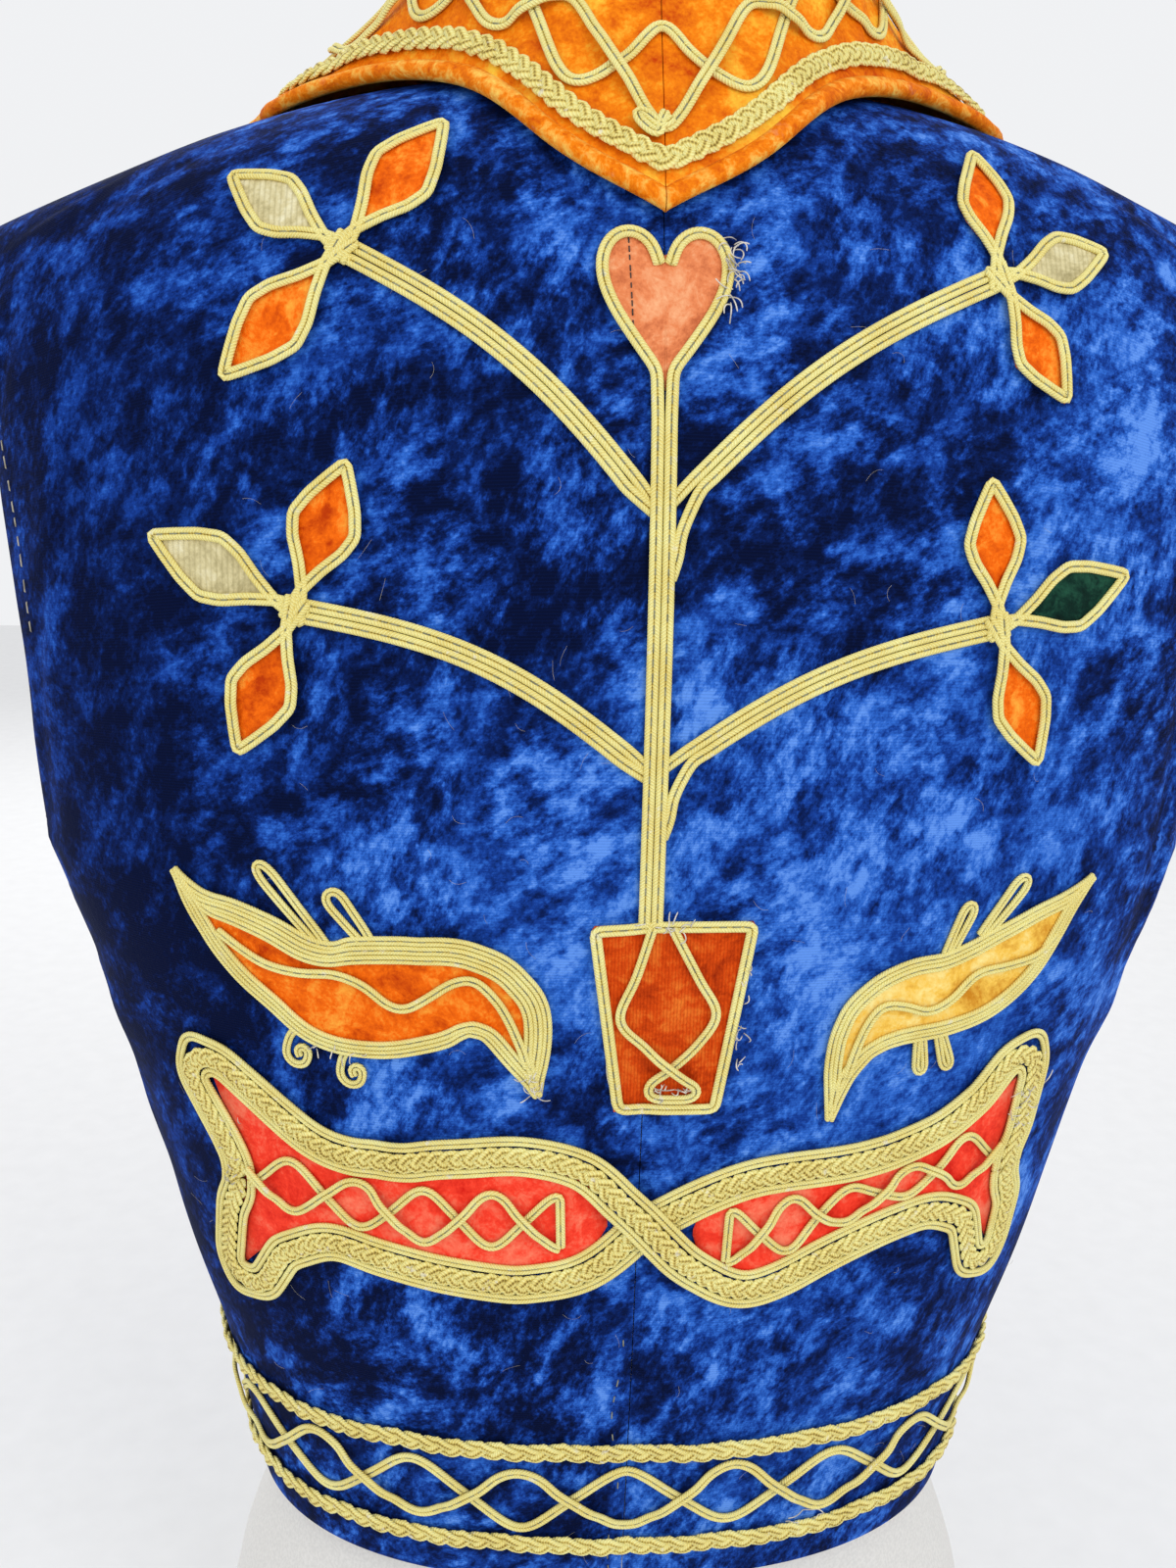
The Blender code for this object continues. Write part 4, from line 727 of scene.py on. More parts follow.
# ------------------------------------------------------------------- collar
Seam = namedtuple("Seam", "along across rise")
# Where the collar joins the neckline and front edges.
COLLAR_SEAM = each(
    Seam, (0, 0, 492), (0.1, 21, 494), (0.2, 42, 503), (0.28, 57, 521), (0.36, 66, 550),
    (0.46, 61, 592), (0.62, 45, 678), (0.8, 25, 775), (1, 6, 866),
)
# The bound outer edge.
COLLAR_EDGE = each(
    Seam, (0, 0, 402), (0.1, 30, 431), (0.2, 59, 484), (0.28, 88, 520), (0.36, 118, 546),
    (0.46, 142, 596), (0.62, 138, 680), (0.8, 90, 786), (1, 22, 868),
)
Roll = namedtuple("Roll", "along height lift")
# Height of the roll over the seam, and the fall's lift.
COLLAR_ROLL = each(
    Roll, (0, 36, 3), (0.2, 38, 4), (0.36, 33, 6), (0.46, 22, 7), (0.62, 10, 5), (0.8, 6, 3), (1, 4, 1),
)
SETTLE = (0.36, 0.62)     # where the collar turns from standing up to lying flat
ROLL_OUT = (1.5, 0.12)    # the roll leans out by this much, and this share of its height
COLLAR_FACE = 3.8         # the collar's face above the vest
COLLAR_FOOT = 1.4         # and its sewn foot
COLLAR_CLOTH = 1.7
BINDING = 5.8
BINDING_GAP = 0.4
# The collar's own creases: the half they are on, their middle, size, lean and depth.
Wrinkle = namedtuple("Wrinkle", "side along inward length width lean depth")
WRINKLES = each(
    Wrinkle, (1, 0.05, 0.55, 26, 4.5, 50, 0.9), (1, 0.16, 0.45, 30, 4, 66, -0.9),
    (1, 0.22, 0.6, 30, 5, 74, 1), (1, 0.33, 0.4, 30, 5, 84, -1), (1, 0.5, 0.5, 40, 8, 60, 1.4),
    (1, 0.72, 0.5, 36, 7, 50, -1.1), (-1, 0.04, 0.75, 20, 4, 40, -0.8), (-1, 0.12, 0.6, 30, 4, 60, 1.1),
    (-1, 0.19, 0.5, 32, 3.5, 56, -1.1), (-1, 0.24, 0.66, 30, 3.5, 60, 1.2),
    (-1, 0.3, 0.45, 30, 4.5, 70, -1.1), (-1, 0.54, 0.5, 40, 8, 62, -1.3),
    (-1, 0.76, 0.45, 36, 7, 54, 1.2),
)
COLLAR_LONG, COLLAR_WIDE = 480.0, 80.0
FALL_STEPS = np.linspace(0, 1, 17)
MOST_LEAN = 1.6


def collar_across(along, inward):
    """(around, rise) under half the collar: inward 0 at its edge, 1 at its seam."""
    along, inward = matched(along, inward)
    across, rise = (read(COLLAR_EDGE, name, along) * (1 - inward)
                    + read(COLLAR_SEAM, name, along) * inward for name in ("across", "rise"))
    low = np.minimum(rise, 2 * SHOULDER_RISE - rise)
    return np.maximum(share_round(across, low), 1e-6), rise


def off_cloth(around, rise, out):
    """Places off the plain cloth, under the collar."""
    return cloth_point(around, rise) + cloth_normal(around, rise) * out


def collar_frame(along):
    """The seam, and the ways up and out of it, along half the collar."""
    seam = off_cloth(*collar_across(along, 1.0), COLLAR_FOOT)
    edge = off_cloth(*collar_across(along, 0.0), COLLAR_FOOT)
    out = edge - seam
    out[..., 2] *= 0.25
    out = unit(out)
    settle = np.clip((along - SETTLE[0]) / (SETTLE[1] - SETTLE[0]), 0, 1)[..., None]
    up = (1 - settle) * np.array([0.0, 0.0, 1.0])
    up = up + settle * cloth_normal(*collar_across(along, 1.0))
    return seam, up, out


def collar_plain(along, inward):
    """The plain face of half the collar: inward 0 at the edge, 1 on top of the roll."""
    along, inward = matched(along, inward)
    seam, up, out = collar_frame(along)
    under = off_cloth(*collar_across(along, inward * 0.92), COLLAR_FACE)
    edge = off_cloth(*collar_across(along, 0.0), COLLAR_FACE)
    roll = read(COLLAR_ROLL, "height", along)[..., None]
    top = seam + up * roll + out * (ROLL_OUT[0] + ROLL_OUT[1] * roll)
    straight = edge + (top - edge) * inward[..., None]
    blend = (inward**1.6)[..., None]
    bulge = read(COLLAR_ROLL, "lift", along) * np.sin(inward * math.pi)
    normal = cloth_normal(*collar_across(along, inward * 0.6))
    return under * (1 - blend) + straight * blend + normal * bulge[..., None]


def collar_normal(along, inward):
    """Unit vectors out of the collar's plain face."""
    along, inward = matched(along, inward)
    step = 0.01
    ahead = collar_plain(along + step, inward) - collar_plain(np.maximum(along - step, 0), inward)
    upward = collar_plain(along, np.minimum(inward + step, 1)) - collar_plain(
        along, np.maximum(inward - step, 0)
    )
    out = np.cross(upward, ahead)
    out[..., 0] = np.where(along < 1e-3, 0.0, out[..., 0])
    return unit(out)


def collar_point(side, along, inward):
    """Places on half the creased collar."""
    along, inward = matched(along, inward)
    depth = np.zeros(along.shape)
    ease = np.clip(inward * 4, 0, 1) * np.clip(along * 30, 0, 1)
    for wrinkle in WRINKLES:
        line, off = leaning((along - wrinkle.along) * COLLAR_LONG,
                            (inward - wrinkle.inward) * COLLAR_WIDE, wrinkle.lean)
        hill = wrinkle.depth * bump(line, wrinkle.length) * bump(off, wrinkle.width)
        depth = depth + (side == wrinkle.side) * ease * hill
    found = collar_plain(along, inward) + collar_normal(along, inward) * depth[..., None]
    found[..., 0] *= side
    return found


def fall_lengths(along):
    """Lengths up half the collar, from its edge, at FALL_STEPS."""
    points = collar_plain(np.asarray(along, float)[..., None] + 0 * FALL_STEPS, FALL_STEPS)
    steps = np.linalg.norm(np.diff(points, axis=-2), axis=-1)
    return np.concatenate([0 * steps[..., :1], np.cumsum(steps, axis=-1)], axis=-1)


def inward_at(along, distance):
    """How far inward a place is that lies `distance` from the collar's edge."""
    along, distance = matched(along, distance)
    ahead = collar_plain(along + 0.01, 0.3) - collar_plain(np.maximum(along - 0.01, 0), 0.3)
    upward = collar_plain(along, 0.35) - collar_plain(along, 0.25)
    square = np.linalg.norm(np.cross(ahead, upward), axis=-1)
    square = square / np.linalg.norm(ahead, axis=-1) / np.linalg.norm(upward, axis=-1)
    # The rows lean, so a distance square to the edge is longer when measured along a row.
    distance = distance * np.minimum(1 / square, MOST_LEAN)
    lengths = fall_lengths(along).reshape(-1, len(FALL_STEPS))
    found = [np.interp(d, row, FALL_STEPS) for d, row in zip(distance.reshape(-1), lengths)]
    return np.array(found).reshape(along.shape)


COLLAR_ROWS = np.concatenate([np.linspace(0, 0.46, 90), np.linspace(0.46, 1, 70)[1:]])


def make_collar_half(side, name):
    """Half the collar: its fall, its roll and its stand down to the neckline."""
    rows = COLLAR_ROWS[:, None]
    first = inward_at(rows, BINDING * 0.6 + BINDING_GAP)
    inward = first + (1 - first) * np.linspace(0, 1, 22)
    face = collar_point(side, rows, inward)
    seam, up, out = collar_frame(COLLAR_ROWS)
    turned = np.array([side, 1.0, 1.0])
    top = collar_plain(COLLAR_ROWS, 1.0)
    half = seam + (top - seam) * 0.5
    # The stand: from the top of the roll over to its inside, and down to the seam.
    stand = np.stack([top, top - out * 2.6 + up * 0.4, top - out * 4.4 - up * 2.0,
                      half - out * 3.6, seam - out * 2.6])
    stand = smooth_path(stand * turned, 4)[1:]
    points = np.concatenate([face, np.moveaxis(stand, 0, 1)], axis=1)
    points[0, :, 0] = side * SEAM_GAP / 2
    mesh = grid_mesh(points, cloth_marks(points))
    piece = make_piece("collar_fall_" + name, [mesh], (orange_velvet(),), "orange_velvet",
                       "collar_" + name)
    row, columns = len(rows) // 2, points.shape[1]
    outward = collar_normal(rows, first)[row, 0] * turned
    if piece.data.polygons[row * (columns - 1) + columns // 4].normal.dot(Vector(outward)) < 0:
        piece.data.flip_normals()
    thicken(piece, COLLAR_CLOTH, rounding=0.4)
    return piece, sheet_area(points)


BINDING_RING = (          # the bound edge's section: share of its width, height
    (0.02, -2.2), (-0.05, -1.2), (-0.06, -0.1), (0.04, 0.9), (0.2, 1.6), (0.42, 1.9),
    (0.66, 1.6), (0.86, 0.9), (1, 0), (1, -1.2), (0.8, -2.2), (0.4, -2.3), (0.02, -2.2),
)


def make_binding(side, name):
    """The rolled strip that binds half the collar's edge, puckered by its sewing."""
    rows = np.concatenate([np.linspace(0, 0.46, 150), np.linspace(0.46, 1, 110)[1:]])
    edge = collar_plain(rows, 0.0)
    run = lengths_of(edge)
    sections = []
    for share, height in BINDING_RING:
        wave = 1 + 0.09 * np.sin(run / 2.3 + 1.9 * np.sin(run / 9.0) + 4 * share)
        inward = inward_at(rows, np.maximum(BINDING * share, 0.0))
        place = collar_plain(rows, inward) + collar_normal(rows, inward) * (
            height * np.where(height > 0, wave, 1.0)
        )[:, None]
        if share < 0:
            place = place + unit(edge - collar_plain(rows, 0.1)) * -share * BINDING
        sections.append(place * (side, 1.0, 1.0))
    points = np.stack(sections, axis=1)
    points[0, :, 0] = side * SEAM_GAP / 2
    ends = points[[0, -1]].mean(axis=1, keepdims=True) + 0 * points[[0, -1]]
    points = np.concatenate([ends[:1], points, ends[1:]])
    mesh = grid_mesh(points, cloth_marks(points), weld=True)
    return make_piece("collar_edge_" + name, [mesh], (binding_velvet(),), "orange_velvet",
                      "collar_binding_" + name)


COLLAR_CORD_END = 0.72    # how far along the collar its cord work runs
COLLAR_PLAIT_IN = 11.6    # plait's middle from the collar's edge
COLLAR_CORD_IN = 18.6     # the zigzag's lowest point from the collar's edge
COLLAR_CORD_TIP = 2.0     # the same rises by this at the centre back
COLLAR_CORD_TOP = 0.97    # its highest, as a share of the fall
COLLAR_CORD_HIGH = 36.0   # and its highest from the collar's edge
COLLAR_CORD_PEAK = 15.5   # the same rises by this at the centre back
COLLAR_WAVES = 10         # half waves of each zigzag from centre back to its end
COLLAR_PLAIT_PERIOD = 15.0
# The small loop at the centre back: place along the collar, and in from its edge.
COLLAR_LOOP = ((0, 24.5), (0.005, 20.5), (0.004, 18.2), (0.012, 17.4), (0.026, 18.8),
               (0.028, 20.8), (0.018, 21.6), (0.006, 20.4), (-0.006, 22))
PLAIT_STRAND = 3.5
PLAIT_HEIGHT = 2.7


def collar_along(shares):
    """Places along the collar at shares of its cord work's length, -1 to 1."""
    dense = np.linspace(0, COLLAR_CORD_END, 121)
    length = lengths_of(collar_plain(dense, 0.45))
    return np.sign(shares) * np.interp(np.abs(shares), length / length[-1], dense)


def collar_route(along, distance, up=0.0):
    """A route on the collar's face; along is negative on the wearer's right."""
    size, side = np.abs(along), np.where(along < 0, -1.0, 1.0)
    inward = inward_at(size, distance)
    outs = collar_normal(size, inward)
    outs[:, 0] *= side
    feet = collar_point(side, size, inward)
    return Route(feet + outs * (CORD_BASE + up + 0 * size)[:, None], outs)


def settled(route, rounding=2):
    """A route at even steps, with its small kinks eased."""
    both = evenly(np.hstack([route.feet, route.outs * 0.001]), CORD_STEP, rounding)
    return Route(both[:, :3], unit(both[:, 3:]))


def make_collar_cords():
    work = CordWork("collar_plaited_cord", "collar_plait")
    along = collar_along(np.linspace(-1, 1, 380))
    route = settled(collar_route(along, COLLAR_PLAIT_IN), 3)
    work.plait(route, size_of("plait_width"), PLAIT_HEIGHT, COLLAR_PLAIT_PERIOD, PLAIT_STRAND)
    work.finish()
    for name, turn, over in ZIGZAGS:
        work = CordWork("collar_zigzag_" + name, "collar_cord_" + name)
        phase = np.linspace(-COLLAR_WAVES, COLLAR_WAVES, 420) * math.pi
        along = collar_along(phase / (COLLAR_WAVES * math.pi))
        top = COLLAR_CORD_TOP * fall_lengths(np.abs(along))[:, -1]
        top = np.minimum(top, COLLAR_CORD_HIGH + COLLAR_CORD_PEAK * np.exp(-np.abs(along) / 0.09))
        low = COLLAR_CORD_IN + COLLAR_CORD_TIP * np.exp(-((along / 0.05) ** 2))
        middle, half = (low + top) / 2, (top - low) / 2
        distance = middle + half * zigzag(phase + QUARTER + turn)
        lift = over * crossing_lift(phase + QUARTER)
        work.cord(settled(collar_route(along, distance, lift)))
        if over:
            loop = smooth_path(np.array(COLLAR_LOOP), 5)
            work.cord(settled(collar_route(loop[:, 0], loop[:, 1], 1.2)), fine=True)
        work.finish()


# ------------------------------------------------------------------ hem band
HEM_CORD_RISE = 37.0
HEM_CORD_SWING = 11.8
HEM_HALF_WAVES = 11       # of each cord, from centre back to the front edge
HEM_CORD_END = 4.0        # the band stops this far from the middle of the front
HEM_PLAIT_PERIOD = 21.0


def hem_ring(rise, shares):
    """(around) along the hem at shares of the length, -1 to 1 between the fronts."""
    end = 2 - float(share_round(HEM_CORD_END, rise))
    dense = np.linspace(-end, end, 801)
    length = lengths_of(cloth_point(dense, np.full(dense.shape, rise)))
    return np.interp(shares, 2 * length / length[-1] - 1, dense)


def make_hem_cords():
    for name, rise in HEM_PLAITS:
        work = CordWork(name + "_cord", name)
        around = hem_ring(rise, np.linspace(-1, 1, 640))
        wander = rise + 0.5 * np.sin(around * 9.0) + 0.3 * np.sin(around * 23.0 + rise)
        work.plait(settled(on_vest(around, wander), 3), size_of("plait_width"), PLAIT_HEIGHT,
                   HEM_PLAIT_PERIOD, PLAIT_STRAND)
        work.finish()
    for name, turn, over in ZIGZAGS:
        work = CordWork("hem_zigzag_" + name, "hem_cord_" + name)
        phase = np.linspace(-HEM_HALF_WAVES, HEM_HALF_WAVES, 760) * math.pi
        around = hem_ring(HEM_CORD_RISE, phase / (HEM_HALF_WAVES * math.pi))
        swing = HEM_CORD_SWING * (1 + 0.08 * np.sin(phase * 0.37 + turn))
        rise = HEM_CORD_RISE + swing * zigzag(phase + QUARTER + turn)
        work.cord(settled(on_vest(around, rise, CORD_BASE + over * crossing_lift(phase + QUARTER))))
        work.finish()


# ------------------------------------------------------------ tree of life
STEM = 7.4                # two cords side by side
STEM_FOOT = 246.5
STEM_TOP = 384.0
Branch = namedtuple("Branch", "name side root across height bow")
BRANCHES = each(
    Branch, ("upper_left", 1, 366, 88, 433, 7), ("upper_right", -1, 366, 96, 430, 7),
    ("lower_left", 1, 292, 101, 336, 9), ("lower_right", -1, 292, 98, 334, 7),
)
# Leaves: which way each points (0 straight out sideways, 90 up), length, width.
Leaf = namedtuple("Leaf", "turn length width finish")
SPRIGS = {
    "upper_left": (Leaf(32, 37, 20, "ivory_velvet"), Leaf(128, 43, 22, "orange_velvet"),
                   Leaf(-47, 46, 22, "orange_velvet")),
    "upper_right": (Leaf(14, 36, 19, "ivory_velvet"), Leaf(96, 34, 19, "orange_velvet"),
                    Leaf(-58, 37, 19, "orange_velvet")),
    "lower_left": (Leaf(24, 44, 22, "ivory_velvet"), Leaf(110, 41, 22, "orange_velvet"),
                   Leaf(-67, 43, 22, "orange_velvet")),
    "lower_right": (Leaf(18, 43, 22, "green_velvet"), Leaf(96, 39, 20, "orange_velvet"),
                    Leaf(-68, 42, 20, "orange_velvet")),
}
LEAF_GAP = 4.5            # from the sprig's middle to each leaf's point
LEAF_SHAPE = ((0, 0), (0.16, 0.36), (0.34, 0.8), (0.5, 1), (0.68, 0.74), (0.86, 0.34),
              (1, 0))
NAMES = ("outer", "upper", "lower")
HALF_CORD = 1.85


def leaf_outline(branch, leaf, inset=0.0):
    """A lozenge with its point by the sprig's middle."""
    turn = math.radians(leaf.turn)
    out = np.array([branch.side * math.cos(turn), math.sin(turn)])
    across = left_of(out)
    middle = np.array([branch.side * branch.across, branch.height])
    whole = list(LEAF_SHAPE) + [(share, -width) for share, width in LEAF_SHAPE[-2:0:-1]]
    centre = middle + out * (LEAF_GAP + leaf.length * 0.5)
    narrow, short = leaf.width / 2 - inset, leaf.length / 2 - inset * 1.5
    found = [
        centre + out * (share - 0.5) * 2 * short + across * narrow * width
        for share, width in whole
    ]
    return np.array(found), centre, middle


HEART_TIP = 396.8
HEART_HEIGHT = 44.0
HEART_JOIN = ((8.6, 14.0), (10.0, 41.0))    # ends of its sewn join, across and above the tip
JOIN_SEWING = (2.6, 2.1, 0.22)
HEART_SIDE = (            # half the heart: across, and height above its tip
    (0, 0), (4.4, 5.6), (9.6, 12.4), (15.2, 20.6), (18.6, 28.4), (18.9, 35.6), (16, 41.4),
    (11, 44), (6, 43.2), (2.4, 40.4), (0, 36.6),
)


def heart_half(side, inset):
    """Half the heart's outline moved inwards, from its point round to its cleft."""
    line = evenly(smooth_path(np.array(HEART_SIDE), 5), 1.0)
    line = line + left_of(unit(np.gradient(line, axis=0))) * inset
    line[:, 0] = np.maximum(line[:, 0], 0.0)
    return line * (side, 1.0) + (0.0, HEART_TIP)


def make_tree():
    """Stem, branches and leaves, with the heart that the stem's cords go round."""
    work = CordWork("stem_cords", "stem")
    for side, _ in SIDES:
        up = [(side * HALF_CORD, height) for height in np.linspace(STEM_FOOT, STEM_TOP, 12)]
        around_heart = heart_half(side, HALF_CORD)[6:-3]
        line = np.vstack([up, [(side * HALF_CORD, STEM_TOP + 6.0)], around_heart])
        line = np.vstack([line, line[-1:] * (0, 1) + (side * HALF_CORD * 0.9, -4.2)])
        work.cord(on_back(evenly(line, CORD_STEP, 3), EDGE_CORD))
    work.finish()
    for branch in BRANCHES:
        start = np.array([branch.side * (STEM / 2 + 1.6), branch.root + 2.5])
        stop = np.array([branch.side * branch.across, branch.height])
        line = stop - start
        share = np.linspace(0, 1, 24)
        bend = left_of(unit(line)) * branch.side
        path = start + line * share[:, None] + bend * (branch.bow * np.sin(share * math.pi))[:, None]
        above = left_of(unit(np.gradient(path, axis=0))) * branch.side
        work = CordWork("branch_cords_" + branch.name, "branch_" + branch.name)
        for off in (HALF_CORD, -HALF_CORD):
            one = path + above * off
            if off < 0 and branch.side < 0:
                # It lies against the stem for a little way down, and its end is tucked in.
                foot = [(-2.6, branch.root - 19.0), (-4.3, branch.root - 13.0),
                        (-5.4, branch.root - 6.0)]
            else:
                foot = [(branch.side * 2.2, one[0, 1] - 2.4)]
            one = smooth_path(np.vstack([foot, one[1:]]), 4)
            route = on_back(evenly(one, CORD_STEP, 2))
            sunk = 0.9 * np.clip(1 - lengths_of(route.feet) / 7.0, 0, 1)
            work.cord(Route(route.feet - route.outs * sunk[:, None], route.outs))
        work.finish()
        for number, (name, leaf) in enumerate(zip(NAMES, SPRIGS[branch.name])):
            make_leaf(branch, name, leaf, number)


def make_leaf(branch, name, leaf, number):
    full = "leaf_" + branch.name + "_" + name
    outline, centre, middle = leaf_outline(branch, leaf, inset=1.2)
    make_patch(full + "_patch", patch_mesh(outline, centre), leaf.finish, full)
    outline, _, _ = leaf_outline(branch, leaf, inset=HALF_CORD)
    out = unit(centre - middle)
    beside_out = left_of(out)
    # The cord crosses itself at the sprig's middle and runs on under the next leaf.
    line = np.vstack([
        middle - out * 3.2 - beside_out * 2.2, outline[:1] - out * 1.0, outline[1:],
        outline[:1] - out * 1.0, middle - out * 3.2 + beside_out * 2.2,
    ])
    work = CordWork(full + "_cord")
    work.cord(on_back(evenly(line, CORD_STEP, 1), CORD_BASE + 0.45 + 0.35 * number))
    work.finish()


def make_heart():
    outline = np.vstack([heart_half(1, 1.0), heart_half(-1, 1.0)[::-1][1:-1]])
    centre = (0.0, HEART_TIP + HEART_HEIGHT * 0.60)
    make_patch("heart_patch", patch_mesh(outline, centre), "salmon_velvet", "heart")
    # A sewn join runs up the left third of the heart.
    work = CordWork("heart_join")
    join = np.linspace(*HEART_JOIN, 24) + (0.0, HEART_TIP)
    work.sewing(on_back(join, PATCH_BASE + 0.25), *JOIN_SEWING, skip=0.02)
    work.finish("seam_thread")


POT_MIDDLE = -7.0
POT_TOP = 248.5
POT_BOTTOM = 185.0
POT_TOP_WIDTH = 50.0
POT_BOTTOM_WIDTH = 33.0
POT_CROSSING = (-8.0, 201.0)
POT_CORD = (              # from the rim, across itself, round a flat loop and back
    (-0.6, 246), (3.6, 231), (8.2, 217.5), (1, 208.5), (-8, 201), (-15.6, 194.6),
    (-14.6, 191), (-8, 190.6), (-2, 191.2), (-1.6, 195.4), (-8, 201), (-15.5, 209),
    (-20.6, 219), (-15, 230), (-6.6, 246),
)


def pot_outline(inset):
    """A tapered pot, with its sides moved in."""
    top, bottom = POT_TOP - inset, POT_BOTTOM + inset
    wide, narrow = POT_TOP_WIDTH / 2 - inset, POT_BOTTOM_WIDTH / 2 - inset
    corners = np.array([(0.0, top), (wide, top - 1.5), (narrow, bottom), (-narrow, bottom),
                        (-wide, top), (0.0, top)])
    return evenly(corners, CORD_STEP * 2)[:-1] + (POT_MIDDLE, 0.0)


def make_pot():
    centre = (POT_MIDDLE, (POT_TOP + POT_BOTTOM) / 2)
    make_patch("pot_patch", patch_mesh(pot_outline(0.6), centre), "pot_velvet", "pot")
    work = CordWork("pot_cords", "pot_cord")
    outline = pot_outline(HALF_CORD)
    work.cord(on_back(evenly(np.vstack([outline, outline[:1]]), CORD_STEP, 1), EDGE_CORD))
    path = smooth_path(np.array(POT_CORD), 6)
    off = np.linalg.norm(path - POT_CROSSING, axis=1)
    first_half = np.arange(len(path)) < len(path) // 2
    lift = np.where(first_half, OVER * np.clip((10 - off) / 4, 0, 1), 0)
    work.cord(settled(on_back(path, CORD_BASE + PATCH_BASE + 0.3 + lift)), fine=True)
    work.finish()


# -------------------------------------------------------------------- birds
Spine = namedtuple("Spine", "along height half_width")
# From the tail's point to the beak's.
LEFT_BODY = each(
    Spine, (0, 0, 0.8), (6.5, -8.5, 4.3), (15.5, -15.5, 9.5), (25, -22.5, 13), (36, -30, 14.8),
    (47, -35, 18.6), (59, -35.2, 20), (73.5, -33.2, 18.9), (87, -31.2, 16.1), (96, -34.4, 13.8),
    (102.3, -42, 11.2), (105.8, -53, 7), (109, -65, 0.8),
)
RIGHT_BODY = each(
    Spine, (0, 0, 0.8), (7.5, -6.5, 3.8), (15.5, -13.5, 8.3), (25.5, -22.5, 12.8), (36.5, -29.8, 14.6),
    (48, -33.6, 14.4), (59.5, -35, 14.2), (67.5, -38, 12.9), (74.3, -43.6, 10.6), (78.7, -51, 7.3),
    (81.2, -60, 4.6), (82.8, -73.5, 1.4),
)
LEFT_WAVE = (             # the wavy cord that runs along each body
    (38.5, -28.5), (49, -28), (57.5, -31), (64.5, -36.5), (70, -37.5), (76.5, -33.5),
    (83.5, -28.5), (90, -27.5), (96, -33), (100, -39.5),
)
RIGHT_WAVE = (
    (28, -26), (39, -27.5), (46.5, -35), (54, -38.5), (62, -36), (69, -35.5),
    (73.5, -41),
)
Bird = namedtuple("Bird", "name side tail_across tail_height body wave loops finish")
Loop = namedtuple("Loop", "name start share length turn width")
# Start: along the bird; share 1 on its back, -1 on its belly.
LEFT_LOOPS = each(
    Loop, ("crest_1", 32.5, 1, 24, 129, 2.2), ("crest_2", 57.5, 1, 14, 127, 2.6),
    ("foot_1", 44, -1, 9, -100, 2.6), ("foot_2", 53, -1, 9, -96, 2.6),
)
RIGHT_LOOPS = each(
    Loop, ("crest_1", 43.5, 1, 13.5, 112, 1.8), ("crest_2", 26, 1, 17, 127, 2.1),
    ("foot_1", 57.5, -1, 10.5, -96, 1.5), ("foot_2", 50, -1, 11, -108, 1.5),
)
BIRDS = (
    Bird("left", 1, 141, 256.5, LEFT_BODY, LEFT_WAVE, LEFT_LOOPS, "orange_velvet"),
    Bird("right", -1, 141, 254.5, RIGHT_BODY, RIGHT_WAVE, RIGHT_LOOPS, "yellow_velvet"),
)


def bird_places(bird, along, height):
    """Turns a bird's own sizes into (across, height) on the back."""
    across = bird.side * (bird.tail_across - np.asarray(along))
    return np.stack([across, bird.tail_height + np.asarray(height)], axis=-1)


def slope_of(table, name, along):
    """How steeply one column of a table climbs."""
    return (read(table, name, along + 1) - read(table, name, along - 1)) / 2


def bird_section(bird, along, share):
    """A place in the bird's body: share -1 on its belly side to 1 on its back."""
    turn = np.arctan(slope_of(bird.body, "height", along))
    half = read(bird.body, "half_width", along)
    return (along - np.sin(turn) * half * share,
            read(bird.body, "height", along) + np.cos(turn) * half * share)


def bird_line(bird, side, off, first, last):
    """A line along the bird, `off` millimetres inside its back or belly."""
    along = np.linspace(first, last, 90)
    half = read(bird.body, "half_width", along)
    share = side * np.clip(1 - off / half, 0.06, 1)
    return bird_places(bird, *bird_section(bird, along, share))


# Rows of cord round each bird: side (1 back, -1 belly), place in from the edge, first and
# last places along it.
Row = namedtuple("Row", "side off first last")
BIRD_ROWS = {
    "left": (Row(1, 1.4, 0.5, 109), Row(-1, 1.4, 0.5, 109), Row(1, 4.3, 2.4, 108.6),
             Row(-1, 4.4, 3, 108.2), Row(1, 7.2, 9, 107.6)),
    "right": (Row(1, 1.4, 0.5, 82.8), Row(-1, 1.4, 0.5, 82.8), Row(1, 4.2, 3, 82.4),
              Row(-1, 4.2, 6, 81.6)),
}
BIRD_CORD = 2.9
BIRD_SEWING = Sewing(4.2, 2.8, 0.34, 0.52)
# Where the wavy cord comes out of the tail and where it runs out in the beak.
WAVE_ENDS = {"left": (((14, -18), (21, -23), (28.5, -27)), ((104, -49), (106, -55))),
             "right": (((12, -18), (18, -24)), ((76.8, -49.5), (79, -58.5)))}
LOOP_CORD = 2.7
LOOP_HEIGHT = 1.6
LOOP_SEWING = Sewing(3.6, 2.4, 0.3, 0.53125)
LOOP_SHAPE = ((-0.3, -0.5), (0, -0.7), (0.5, -0.9), (0.82, -0.95), (0.98, -0.45), (0.98, 0.45),
              (0.82, 0.95), (0.5, 0.9), (0, 0.7), (-0.3, 0.5))
COIL = ((-0.5, -0.1), (-0.1, -0.7), (0.45, -0.9), (0.8, -0.7), (1, 0), (0.85, 0.75), (0.4, 0.85),
        (0.25, 0.3), (0.45, 0), (0.62, 0.22))
LOOP_OFF = 1.0            # from the bird's edge to the loop's open end


